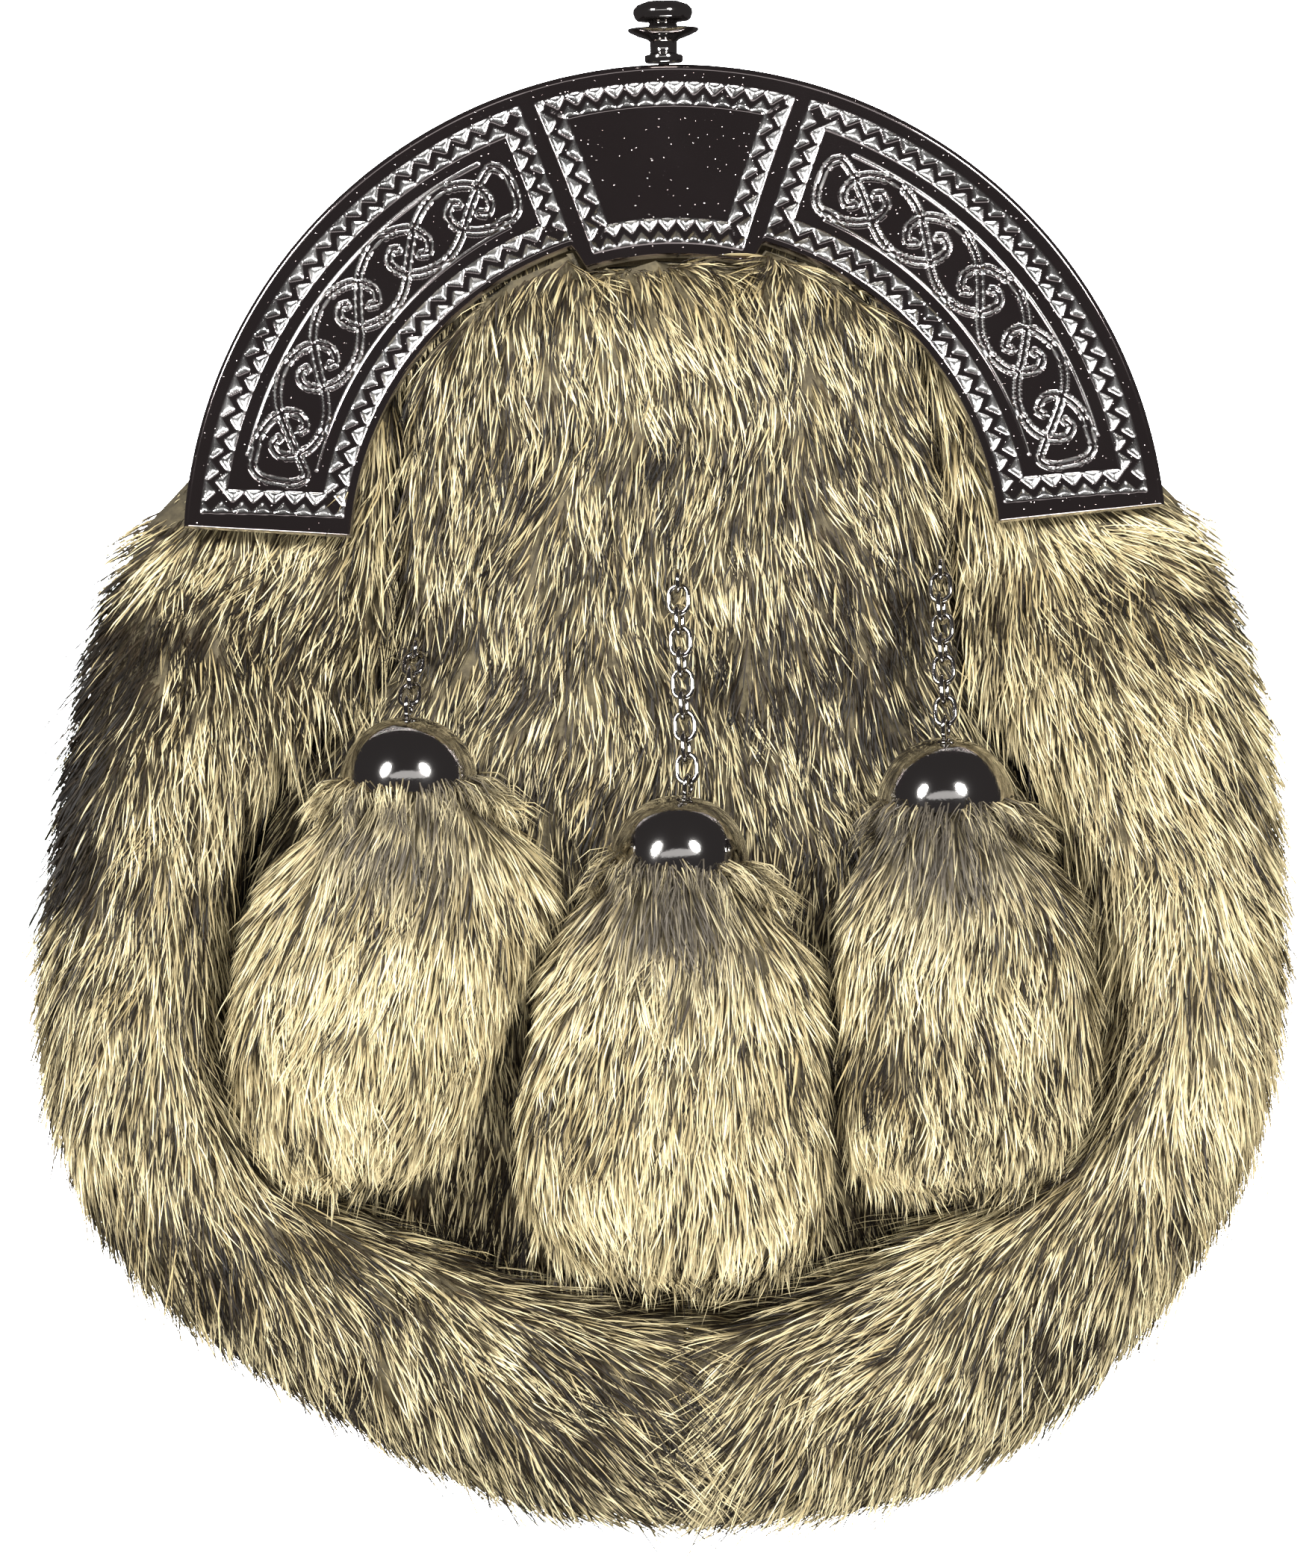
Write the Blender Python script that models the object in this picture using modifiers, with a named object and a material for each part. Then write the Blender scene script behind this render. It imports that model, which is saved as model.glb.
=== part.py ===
"""A dress sporran: a fur pouch under a cast metal cantle, with three fur tassels on chains.

It lies on its back. +Z is the way its front faces, and +Y points to the knob on top.
Shares in the tables are parts of the named sizes above them.
"""

import math

import bmesh
import bpy
from mathutils import Matrix, Vector

MM = 0.001
GAP = 0.3 * MM  # between pieces that touch
SEAM_GAP = 0.9 * MM  # between soft pieces whose edges run in different steps
REACH_PAST = 1.0 * MM  # how far a cutter runs past what it cuts

# The cantle's plate is centred on its arc: the arch's own middle is the frame's x = 0, y = 0
CANTLE_RADIUS = 79.1 * MM
ARCH_RADIUS = 52.0 * MM
CANTLE_THICKNESS = 3.3 * MM
CANTLE_BASE_Z = 22.3 * MM
CANTLE_CHAMFER = 0.5 * MM
CANTLE_END_ANGLE = math.radians(85.4)
TAB_RADIUS = 48.0 * MM
TAB_ROOT_ANGLE = math.radians(17.2)
TAB_TIP_ANGLE = math.radians(15.5)
ARC_STEP = math.radians(5.5)

# Relief on the cantle
BAND_WIDTH = 3.8 * MM
RELIEF_DEPTH = 0.7 * MM
CREST_BELOW_TOP = 0.08 * MM
CREST_SWING = 0.24  # share of the band's width, each side of its middle
SIDE_FIELD = {"inner": 53.6 * MM, "outer": 76.6 * MM, "near": (16.8, 17.8), "far": (82.0, 83.4)}
CENTRE_FIELD = {"inner": 50.6 * MM, "outer": 76.4 * MM, "near": (-13.8, -15.9), "far": (13.8, 15.9)}
SIDE_TEETH = {"outer": 15, "inner": 11, "end": 4}
CENTRE_TEETH = {"outer": 8, "inner": 6, "end": 4}

# Interlace: five knots a side, and the half strand that runs from a knot's hook to the next knot's middle.
# Each row is along (in pitches, from the next knot) and across (in half widths, + to the arch).
KNOT_COUNT = 5
KNOT_PITCH_ANGLE = math.radians(10.45)
FIRST_KNOT_ANGLE = math.radians(29.3)
KNOT_RADIUS = 65.0 * MM
KNOT_HALF_WIDTH = 5.0 * MM
KNOT_MARGIN = 0.9 * MM
STRAND_RADIUS = 0.6 * MM
STRAND_SUNK = 0.12 * MM
STRAND_SETTLE = 0.13 * MM  # a strand sinks by this from its start to its end, so no two cross level
HALF_STRAND = (
    ("hook_end", -1.08, 0.32),
    ("hook_foot", -1.21, 0.40),
    ("hook_side", -1.31, 0.02),
    ("hook_shoulder", -1.22, -0.52),
    ("crown_start", -0.98, -0.88),
    ("crown", -0.72, -0.98),
    ("fall", -0.42, -0.80),
    ("middle", 0.0, 0.0),
)
END_CORNER_ALONG = 0.62  # in pitches past the last knot, where the end loop turns
END_CORNER_ACROSS = 0.88

# Knob on top of the cantle, along the turned profile from its head down: height over the plate, radius
KNOB_HEIGHT = 10.0 * MM
KNOB_HEAD_RADIUS = 4.8 * MM
KNOB_SIDES = 12
KNOB_PROFILE = (
    ("crown", 1.00, 0.00),
    ("crown_edge", 0.96, 0.62),
    ("head_top", 0.86, 0.98),
    ("head_bottom", 0.68, 0.90),
    ("throat_top", 0.65, 0.45),
    ("dish_top", 0.58, 0.50),
    ("dish_rim", 0.55, 1.18),
    ("dish_under", 0.50, 1.14),
    ("dish_foot", 0.36, 0.46),
    ("stem", 0.14, 0.46),
    ("collar_top", 0.12, 0.64),
    ("collar_bottom", 0.00, 0.64),
)
KNOB_PEG_RADIUS = 0.9 * MM
KNOB_PEG_LENGTH = 4.0 * MM

# Pouch. Reach is measured from the pouch's own middle, turn anticlockwise from +X
POUCH_MIDDLE = Vector((-3.0 * MM, -57.0 * MM))
POUCH_REACH = 104.0 * MM
GUSSET_HEIGHT = 45.0 * MM
FUR_DEPTH = 7.0 * MM
LOCK_DEPTH = 1.8 * MM
SEAM_Z = 28.0 * MM
SEAM_TURN = 272.0
GUSSET_ROWS = 18
GUSSET_COLUMNS = 10
# Each row is turn in degrees, outer reach, inner reach and height, the last three as shares
GUSSET_LEFT = (
    (272.0, 0.965, 0.600, 0.86),
    (255.0, 0.955, 0.598, 0.92),
    (240.0, 0.938, 0.598, 0.96),
    (225.0, 0.950, 0.632, 1.00),
    (210.0, 1.015, 0.715, 1.00),
    (195.0, 1.010, 0.690, 1.00),
    (180.0, 0.965, 0.660, 1.00),
    (168.0, 0.955, 0.648, 0.98),
    (158.0, 0.965, 0.622, 0.92),
    (147.0, 1.020, 0.585, 0.72),
    (140.0, 1.036, 0.565, 0.52),
    (134.0, 1.030, 0.560, 0.475),
    (127.0, 1.015, 0.665, 0.475),
    (120.0, 1.060, 0.805, 0.475),
    (114.0, 1.110, 0.940, 0.475),
)
GUSSET_RIGHT = (
    (272.0, 0.965, 0.600, 0.86),
    (285.0, 0.978, 0.604, 0.92),
    (300.0, 1.000, 0.604, 0.96),
    (315.0, 1.000, 0.632, 1.00),
    (328.0, 0.980, 0.722, 1.00),
    (338.0, 1.000, 0.718, 1.00),
    (350.0, 0.972, 0.670, 1.00),
    (362.0, 0.962, 0.630, 0.98),
    (374.0, 0.975, 0.610, 0.94),
    (386.0, 1.012, 0.590, 0.86),
    (396.0, 1.050, 0.592, 0.70),
    (403.0, 1.048, 0.628, 0.52),
    (409.0, 1.040, 0.690, 0.475),
    (417.0, 1.055, 0.815, 0.475),
    (425.0, 1.115, 0.965, 0.475),
)

# Front panel
PANEL_HIDE_Z = 20.0 * MM
PANEL_RISE = 4.0 * MM
PANEL_FUR = 9.0 * MM
PANEL_EDGE_FUR = 0.45  # share of the fur's depth left at the seam
PANEL_TOP_RADIUS = 75.5 * MM
PANEL_CELLS = 12
PANEL_CORNER_TURNS = (224.0, 316.0)
SEAT_Z = CANTLE_BASE_Z - GAP
BED_Z = PANEL_HIDE_Z + PANEL_RISE + PANEL_FUR  # the fur's highest, where the tassels lie

# Back, flap and strap loops, all of black leather
BACK_Z = 8.0 * MM
BACK_THICKNESS = 2.0 * MM
BACK_TOP_RADIUS = 74.0 * MM
TOP_ARC_STEPS = 12
FLAP_CORNER_STEPS = 5
TOP_WALL_ANGLE = math.radians(43.0)
MOUTH_WIDTH = 62.0 * MM
MOUTH_HEIGHT = 20.0 * MM
MOUTH_Y = 20.0 * MM
FLAP_THICKNESS = 1.8 * MM
FLAP_WIDTH = 70.0 * MM
FLAP_TOP_Y = 36.0 * MM
FLAP_LENGTH = 52.0 * MM
STUD_RADIUS = 4.5 * MM
STUD_HEIGHT = 2.6 * MM
STUD_UP_FLAP = 9.0 * MM
LOOP_WALL = 1.5 * MM
LOOP_STRAP_WIDTH = 19.0 * MM
LOOP_LENGTH = 9.0 * MM
LOOP_X = 27.0 * MM
LOOP_Y = 50.5 * MM

# Bell caps: height over the rim and radius, outside from the crown to the rim
CAP_RADIUS = 11.15 * MM
CAP_HEIGHT = 12.0 * MM
CAP_WALL = 0.9 * MM
CAP_SIDES = 12
CAP_CLEARANCE = 0.9 * MM  # the head's room inside the cap, wide enough for its flat sides
HEAD_SHARE = 0.9
HEAD_RINGS = 3
CAP_PROFILE = ((1.00, 0.00), (0.93, 0.42), (0.74, 0.72), (0.46, 0.92), (0.16, 1.00), (0.0, 1.0))
EYE_RADIUS = 1.75 * MM
EYE_WIRE = 0.45 * MM
EYE_SUNK = EYE_WIRE / 2  # how far the cap's ring is let into its crown
STEM_RADIUS = 0.7 * MM
STEM_DEPTH = 5.0 * MM  # how deep the chain eye's stem goes into the fur
STEM_SIDES = 8

# Tassels: the middle of the cap's rim, how far the cap leans to the right, where the fur's tip is,
# where the chain's eye is (only its bearing from the cap counts) and how many links there are
TASSEL_THICKNESS = 22.0 * MM
TASSEL_HALF_WIDTH = 25.0 * MM
TASSEL_SIDES = 12
TASSEL_RINGS = 14
TASSELS = {
    "left": {"rim": (-43.2, -37.0), "lean": 1.3, "tip": (-53.5, -99.8), "eye": (-41.8, -14.5), "links": 3},
    "middle": {"rim": (-0.6, -50.4), "lean": 7.5, "tip": (-4.6, -116.6), "eye": (0.3, -4.6), "links": 9},
    "right": {"rim": (42.0, -42.2), "lean": 1.3, "tip": (42.6, -103.0), "eye": (42.2, -3.6), "links": 7},
}
# Each row is the share of the length, then half width to the left and right and thickness, as shares
TASSEL_ROWS = {
    "left": (
        (0.0, 0.42, 0.42, 0.86), (0.1, 0.68, 0.84, 0.94), (0.2, 0.86, 1.02, 1.0), (0.4, 0.96, 0.94, 1.0),
        (0.6, 0.96, 0.84, 0.96), (0.8, 0.82, 0.72, 0.78), (0.93, 0.52, 0.50, 0.50), (1.0, 0.0, 0.0, 0.2),
    ),
    "middle": (
        (0.0, 0.42, 0.42, 0.86), (0.1, 0.68, 0.82, 0.94), (0.2, 0.80, 0.94, 1.0), (0.4, 0.92, 1.02, 1.0),
        (0.6, 0.98, 1.06, 0.96), (0.8, 0.98, 1.04, 0.80), (0.93, 0.74, 0.80, 0.50), (1.0, 0.0, 0.0, 0.2),
    ),
    "right": (
        (0.0, 0.42, 0.42, 0.86), (0.1, 0.56, 0.70, 0.94), (0.2, 0.68, 0.82, 1.0), (0.4, 0.74, 0.94, 1.0),
        (0.6, 0.74, 0.96, 0.96), (0.8, 0.76, 0.84, 0.80), (0.93, 0.64, 0.56, 0.50), (1.0, 0.0, 0.0, 0.2),
    ),
}

# Chain links
LINK_LENGTH = 5.6 * MM
LINK_WIDTH = 4.2 * MM
LINK_WIRE = 0.45 * MM
LINK_SEGMENTS = 10
LINK_WIRE_SIDES = 5
LINK_TWIST = math.radians(18.0)
LINK_PITCH = LINK_LENGTH - 4 * LINK_WIRE - GAP

# Finishes: sRGB hex, metallic, roughness
FINISHES = {
    "bright_metal": ("C9CBCF", 1.0, 0.16),
    "fur": ("B9A97C", 0.0, 0.9),
    "black_leather": ("1D1A18", 0.0, 0.5),
}


def linear(channel):
    """One sRGB channel as the linear value that Blender's colours take."""
    return channel / 12.92 if channel <= 0.04045 else ((channel + 0.055) / 1.055) ** 2.4


def material_for(piece, finish):
    """A Principled material of the piece's own."""
    colour, metallic, roughness = FINISHES[finish]
    material = bpy.data.materials.new(f"{piece}_{finish}")
    material.use_nodes = True
    shader = material.node_tree.nodes["Principled BSDF"]
    channels = [linear(int(colour[i:i + 2], 16) / 255) for i in (0, 2, 4)]
    shader.inputs["Base Color"].default_value = (*channels, 1.0)
    shader.inputs["Metallic"].default_value = metallic
    shader.inputs["Roughness"].default_value = roughness
    return material


def new_collection(name):
    collection = bpy.data.collections.new(name)
    bpy.context.scene.collection.children.link(collection)
    return collection


def add_mesh(name, shape, collection, matrix=Matrix()):
    """An object of the bmesh, which is used up."""
    mesh = bpy.data.meshes.new(name)
    shape.to_mesh(mesh)
    shape.free()
    piece = bpy.data.objects.new(name, mesh)
    piece.matrix_world = matrix
    collection.objects.link(piece)
    return piece


def finished(piece, finish, smooth_angle=40.0):
    """Gives the piece its finish and smooth shading, and hangs it on the frame."""
    piece.data.materials.clear()
    piece.data.materials.append(material_for(piece.name, finish))
    piece.data.shade_smooth()
    piece.data.set_sharp_from_angle(angle=math.radians(smooth_angle))
    piece.parent = frame
    return piece


def as_cutter(piece):
    piece.hide_render = True
    piece.display_type = "WIRE"
    piece.parent = frame
    return piece


def cut_or_join(piece, operation, operand):
    """A Boolean of the piece with one object, or with all objects of a collection."""
    modifier = piece.modifiers.new(operation.lower(), "BOOLEAN")
    modifier.operation = operation
    modifier.solver = "EXACT"
    if isinstance(operand, bpy.types.Collection):
        modifier.operand_type = "COLLECTION"
        modifier.collection = operand
    else:
        modifier.object = operand
    return modifier


def curve_mesh(name, curve, collection, matrix=Matrix()):
    """The curve as a closed mesh object."""
    holder = bpy.data.objects.new(name, curve)
    collection.objects.link(holder)
    bpy.context.view_layer.update()
    graph = bpy.context.evaluated_depsgraph_get()
    mesh = bpy.data.meshes.new_from_object(holder.evaluated_get(graph))
    bpy.data.objects.remove(holder)
    shape = bmesh.new()
    shape.from_mesh(mesh)
    bmesh.ops.remove_doubles(shape, verts=shape.verts, dist=0.001 * MM)
    bpy.data.meshes.remove(mesh)
    return add_mesh(name, shape, collection, matrix)


def slab(name, outlines, z_low, z_high, collection, chamfer=0.0):
    """A flat plate between two heights. Each outline after the first is a hole."""
    curve = bpy.data.curves.new(name, "CURVE")
    curve.dimensions = "2D"
    curve.fill_mode = "BOTH"
    curve.extrude = (z_high - z_low) / 2 - chamfer
    curve.bevel_depth = chamfer
    curve.bevel_resolution = 0
    curve.offset = -chamfer
    for outline in outlines:
        spline = curve.splines.new("POLY")
        spline.points.add(len(outline) - 1)
        for point, (x, y) in zip(spline.points, outline):
            point.co = (x, y, 0, 1)
        spline.use_cyclic_u = True
    return curve_mesh(name, curve, collection, Matrix.Translation((0, 0, (z_low + z_high) / 2)))


def turned(name, profile, sides, collection, matrix=Matrix()):
    """A turned piece: profile rows are (radius, height), down its outer side."""
    shape = bmesh.new()
    verts = [shape.verts.new((radius, 0, height)) for radius, height in profile]
    for upper, lower in zip(verts, verts[1:]):
        shape.edges.new((upper, lower))
    piece = add_mesh(name, shape, collection, matrix)
    screw = piece.modifiers.new("turn", "SCREW")
    screw.steps = screw.render_steps = sides
    screw.use_merge_vertices = True
    screw.merge_threshold = 0.01 * MM
    return piece


def arc(radius, start, end, step=ARC_STEP):
    """Points of an arc about the arch's middle. Angles are from +Y, + to the right."""
    count = max(1, round(abs(end - start) / step))
    angles = [start + (end - start) * i / count for i in range(count + 1)]
    return [(radius * math.sin(angle), radius * math.cos(angle)) for angle in angles]


def cantle_outline(grow=0.0):
    """The plate's outline, grown outwards all round."""
    end_outer = CANTLE_END_ANGLE + grow / CANTLE_RADIUS
    end_inner = CANTLE_END_ANGLE + grow / ARCH_RADIUS
    tab_root = TAB_ROOT_ANGLE + grow / ARCH_RADIUS
    tab_tip = TAB_TIP_ANGLE + grow / TAB_RADIUS
    outline = arc(CANTLE_RADIUS + grow, -end_outer, end_outer)
    outline += arc(ARCH_RADIUS - grow, end_inner, tab_root)
    outline += arc(TAB_RADIUS - grow, tab_tip, -tab_tip)
    outline += arc(ARCH_RADIUS - grow, -tab_root, -end_inner)
    return outline


def field_point(field, along, across, inset=0.0):
    """A point of a field of the relief: along from its near end, across from the arch outwards."""
    span = field["outer"] - field["inner"] - 2 * inset
    radius = field["inner"] + inset + span * across
    share = (radius - field["inner"]) / (field["outer"] - field["inner"])
    near = math.radians(field["near"][0] + (field["near"][1] - field["near"][0]) * share) + inset / radius
    far = math.radians(field["far"][0] + (field["far"][1] - field["far"][0]) * share) - inset / radius
    angle = near + (far - near) * along
    return Vector((radius * math.sin(angle), radius * math.cos(angle), 0))


def ring_stations(teeth):
    """(along, across) round the field's edge: each tooth's start, then its middle."""
    sides = (
        (teeth["outer"], lambda share: (share, 1.0)),
        (teeth["end"], lambda share: (1.0, 1.0 - share)),
        (teeth["inner"], lambda share: (1.0 - share, 0.0)),
        (teeth["end"], lambda share: (0.0, share)),
    )
    return [
        (place(step / (2 * count)), step % 2 == 1)
        for count, place in sides
        for step in range(2 * count)
    ]


def zigzag_cutter(name, field, teeth, mirrored, collection):
    """What the mould leaves out of a frame: a ring whose floor rises to a zigzag crest."""
    top = CANTLE_BASE_Z + CANTLE_THICKNESS
    floor = top - RELIEF_DEPTH
    crest = top - CREST_BELOW_TOP
    lid = top + REACH_PAST
    shape = bmesh.new()
    edge, crests = [], []
    for (along, across), is_valley in ring_stations(teeth):
        outside = field_point(field, along, across)
        inside = field_point(field, along, across, BAND_WIDTH)
        swing = CREST_SWING if is_valley else -CREST_SWING
        ridge = outside.lerp(inside, 0.5 + swing)
        crests.append(shape.verts.new((ridge.x, ridge.y, crest)))
        if not is_valley:
            corners = ((outside, floor), (inside, floor), (inside, lid), (outside, lid))
            edge.append([shape.verts.new((point.x, point.y, z)) for point, z in corners])
    for index, (low_out, low_in, high_in, high_out) in enumerate(edge):
        next_out, next_in, next_high_in, next_high_out = edge[(index + 1) % len(edge)]
        start, valley = crests[2 * index], crests[2 * index + 1]
        end = crests[(2 * index + 2) % len(crests)]
        shape.faces.new((low_out, next_out, end, valley, start))
        shape.faces.new((low_in, start, valley, end, next_in))
        shape.faces.new((low_in, next_in, next_high_in, high_in))
        shape.faces.new((high_in, next_high_in, next_high_out, high_out))
        shape.faces.new((high_out, next_high_out, next_out, low_out))
    bmesh.ops.triangulate(shape, faces=shape.faces)
    if mirrored:
        bmesh.ops.scale(shape, vec=(-1, 1, 1), verts=shape.verts)
    bmesh.ops.recalc_face_normals(shape, faces=shape.faces)
    return as_cutter(add_mesh(name, shape, collection))


def knot_place(along, across):
    """A point of the interlace: along in pitches from the first knot, across in half widths."""
    angle = FIRST_KNOT_ANGLE + along * KNOT_PITCH_ANGLE
    radius = KNOT_RADIUS - across * KNOT_HALF_WIDTH
    return (radius * math.sin(angle), radius * math.cos(angle))


def strand_routes():
    """The interlace's strands: three whole ones, and one at each end that turns back in a loop."""
    half = [(along, across) for _, along, across in HALF_STRAND]
    whole = half + [(-along, -across) for along, across in reversed(half[:-1])]
    routes = [[(along + knot, across) for along, across in whole] for knot in range(1, KNOT_COUNT - 1)]
    corner, side = END_CORNER_ALONG, END_CORNER_ACROSS
    turn = [(corner - 0.14, side), (corner, side - 0.2), (corner, 0.2 - side), (corner - 0.14, -side)]
    back = [(along + 1, across) for along, across in reversed(half[:5])]
    last = half + turn + back
    routes.append([(along + KNOT_COUNT - 1, across) for along, across in last])
    routes.append([(-along, -across) for along, across in last])
    return routes


def strand(name, route, mirrored, collection):
    """One strand: a four-sided cord half sunk in the floor of its field."""
    curve = bpy.data.curves.new(name, "CURVE")
    curve.dimensions = "3D"
    curve.bevel_depth = STRAND_RADIUS
    curve.bevel_resolution = 0
    curve.use_fill_caps = True
    spline = curve.splines.new("POLY")
    spline.points.add(len(route) - 1)
    side = -1 if mirrored else 1
    for index, (along, across) in enumerate(route):
        x, y = knot_place(along, across)
        spline.points[index].co = (side * x, y, -STRAND_SETTLE * index / (len(route) - 1), 1)
    height = CANTLE_BASE_Z + CANTLE_THICKNESS - RELIEF_DEPTH - STRAND_SUNK
    return as_cutter(curve_mesh(name, curve, collection, Matrix.Translation((0, 0, height))))


def knot_field(name, mirrored, collection):
    """The sunk ground of the interlace."""
    margin = KNOT_MARGIN / KNOT_HALF_WIDTH
    reach = END_CORNER_ALONG + KNOT_MARGIN / (KNOT_PITCH_ANGLE * KNOT_RADIUS)
    steps = 2 * KNOT_COUNT
    along = [-reach + (KNOT_COUNT - 1 + 2 * reach) * i / steps for i in range(steps + 1)]
    outline = [knot_place(a, -1 - margin) for a in along]
    outline += [knot_place(a, 1 + margin) for a in reversed(along)]
    if mirrored:
        outline = [(-x, y) for x, y in outline]
    top = CANTLE_BASE_Z + CANTLE_THICKNESS
    return as_cutter(slab(name, [outline], top - RELIEF_DEPTH, top + REACH_PAST, collection))


def knob_bore(collection):
    """The hole in the plate's top edge that takes the knob's peg."""
    shape = bmesh.new()
    radius = KNOB_PEG_RADIUS + GAP
    depth = KNOB_PEG_LENGTH + GAP + REACH_PAST
    bmesh.ops.create_cone(
        shape, cap_ends=True, segments=10, radius1=radius, radius2=radius, depth=depth
    )
    centre_y = CANTLE_RADIUS + REACH_PAST - depth / 2
    place = Matrix.Translation((0, centre_y, CANTLE_BASE_Z + CANTLE_THICKNESS / 2))
    return as_cutter(add_mesh("knob_bore", shape, collection, place @ Matrix.Rotation(math.pi / 2, 4, "X")))


def make_cantle():
    plate_top = CANTLE_BASE_Z + CANTLE_THICKNESS
    cuts = new_collection("cantle_cuts")
    strands = new_collection("cantle_strands")
    cantle = slab("cantle", [cantle_outline()], CANTLE_BASE_Z, plate_top, parts, CANTLE_CHAMFER)
    zigzag_cutter("centre_frame", CENTRE_FIELD, CENTRE_TEETH, False, cuts)
    knob_bore(cuts)
    for side, mirrored in (("right", False), ("left", True)):
        zigzag_cutter(f"{side}_frame", SIDE_FIELD, SIDE_TEETH, mirrored, cuts)
        knot_field(f"{side}_knot_field", mirrored, cuts)
        for index, route in enumerate(strand_routes()):
            strand(f"{side}_strand_{index}", route, mirrored, strands)
    cut_or_join(cantle, "DIFFERENCE", cuts)
    cut_or_join(cantle, "UNION", strands)
    return finished(cantle, "bright_metal", 25.0)


def make_knob():
    profile = [(share * KNOB_HEAD_RADIUS, height * KNOB_HEIGHT) for _, height, share in KNOB_PROFILE]
    profile += [(KNOB_PEG_RADIUS, 0.0), (KNOB_PEG_RADIUS, -KNOB_PEG_LENGTH), (0.0, -KNOB_PEG_LENGTH)]
    foot = Matrix.Translation((0, CANTLE_RADIUS + GAP, CANTLE_BASE_Z + CANTLE_THICKNESS / 2))
    knob = turned("cantle_knob", profile, KNOB_SIDES, parts, foot @ Matrix.Rotation(-math.pi / 2, 4, "X"))
    return finished(knob, "bright_metal")


def between(rows, key):
    """The row at this key, each column along a smooth curve between the rows of the table."""
    ordered = sorted(rows)
    key = min(max(key, ordered[0][0]), ordered[-1][0])
    for lower, upper in zip(ordered, ordered[1:]):
        if key <= upper[0]:
            share = (key - lower[0]) / (upper[0] - lower[0])
            return [low + (high - low) * share for low, high in zip(lower[1:], upper[1:])]
    return list(ordered[-1][1:])


def pouch_place(turn, reach, z):
    angle = math.radians(turn)
    x = POUCH_MIDDLE.x + reach * math.cos(angle)
    y = POUCH_MIDDLE.y + reach * math.sin(angle)
    return Vector((x, y, z))


def roll_section(rows, turn):
    """The ellipse of the roll at this turn, and the angles where its seam and its back edge lie."""
    outer, inner, height = between(rows, turn)
    outer, inner, half_height = outer * POUCH_REACH, inner * POUCH_REACH, height * GUSSET_HEIGHT / 2
    seam_z = min(SEAM_Z, 1.85 * half_height)
    seam_angle = math.pi - math.asin((seam_z - half_height) / half_height)
    half_width = (outer - inner) / (1 + abs(math.cos(seam_angle)))
    back_z = BACK_Z + BACK_THICKNESS / 2
    back_angle = -math.pi + math.asin((half_height - back_z) / half_height)
    return {
        "middle": outer - half_width, "half_width": half_width, "half_height": half_height,
        "seam": seam_angle, "back": back_angle,
    }


def roll_point(rows, turn, around, depth):
    """A point of the roll: around from the seam over the top to the back edge, at a depth in the fur."""
    section = roll_section(rows, turn)
    angle = section["seam"] + (section["back"] - section["seam"]) * around
    depth = min(depth, 0.62 * section["half_height"])
    reach = section["middle"] + (section["half_width"] - depth) * math.cos(angle)
    height = section["half_height"] + (section["half_height"] - depth) * math.sin(angle)
    return pouch_place(turn, reach, height)


def back_reach(rows, turn):
    """How far the back panel reaches at this turn, just short of the roll's back edge."""
    section = roll_section(rows, turn)
    return section["middle"] + section["half_width"] * math.cos(section["back"]) - GAP


def wall_mesh(hide_point, fur_point, rows, columns):
    """A closed wall between the hide's surface and the fur's, each given on a grid of rows and columns."""
    shape = bmesh.new()
    bmesh.ops.create_grid(shape, x_segments=rows, y_segments=columns, size=0.5)
    places = shape.verts.layers.float_vector.new("places")
    for vert in shape.verts:
        vert[places] = ((vert.co.x + 0.5) * rows, (vert.co.y + 0.5) * columns, 0)
    raised = bmesh.ops.extrude_face_region(shape, geom=shape.faces[:], use_keep_orig=True)
    fur_side = {item for item in raised["geom"] if isinstance(item, bmesh.types.BMVert)}
    for vert in shape.verts:
        row, column = round(vert[places].x), round(vert[places].y)
        vert.co = (fur_point if vert in fur_side else hide_point)(row, column)
    bmesh.ops.recalc_face_normals(shape, faces=shape.faces)
    return shape


def roll_turns(rows):
    """The turns of the roll's cross sections, from its end under the cantle to the bottom seam."""
    first, last = rows[0][0], rows[-1][0]
    first += math.copysign(math.degrees(GAP / POUCH_REACH), last - first)
    return [last + (first - last) * row / GUSSET_ROWS for row in range(GUSSET_ROWS + 1)]


def is_lock_tip(row, column, rows, columns):
    """Locks lie staggered, each with its tip at every second point. None stands on an edge."""
    inside = 0 < row < rows and 0 < column < columns
    return inside and (row + column) % 2 == 1


def make_gusset(name, rows):
    """One fur roll, a C round the hollow, from the seam at the bottom to its end under the cantle."""
    turns = roll_turns(rows)

    def turn_at(row):
        low = min(int(row), GUSSET_ROWS - 1)
        return turns[low] + (turns[low + 1] - turns[low]) * (row - low)

    def fur_point(row, column):
        tip = is_lock_tip(row, column, GUSSET_ROWS, GUSSET_COLUMNS)
        shift = 0.3 if tip and row < GUSSET_ROWS - 1 else 0.0
        depth = 0.0 if tip or column in (0, GUSSET_COLUMNS) else LOCK_DEPTH
        return roll_point(rows, turn_at(row + shift), column / GUSSET_COLUMNS, depth)

    def hide_point(row, column):
        return roll_point(rows, turn_at(row), column / GUSSET_COLUMNS, FUR_DEPTH)

    gusset = add_mesh(name, wall_mesh(hide_point, fur_point, GUSSET_ROWS, GUSSET_COLUMNS), parts)
    cut_or_join(gusset, "DIFFERENCE", cantle_seat)
    return finished(gusset, "fur", 60.0)


def make_seat():
    """Clears the cantle's place out of the fur that it is pressed into."""
    outline = cantle_outline(GAP)
    top = SEAT_Z + GUSSET_HEIGHT
    return as_cutter(slab("cantle_seat", [outline], SEAT_Z, top, cutters))


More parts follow.
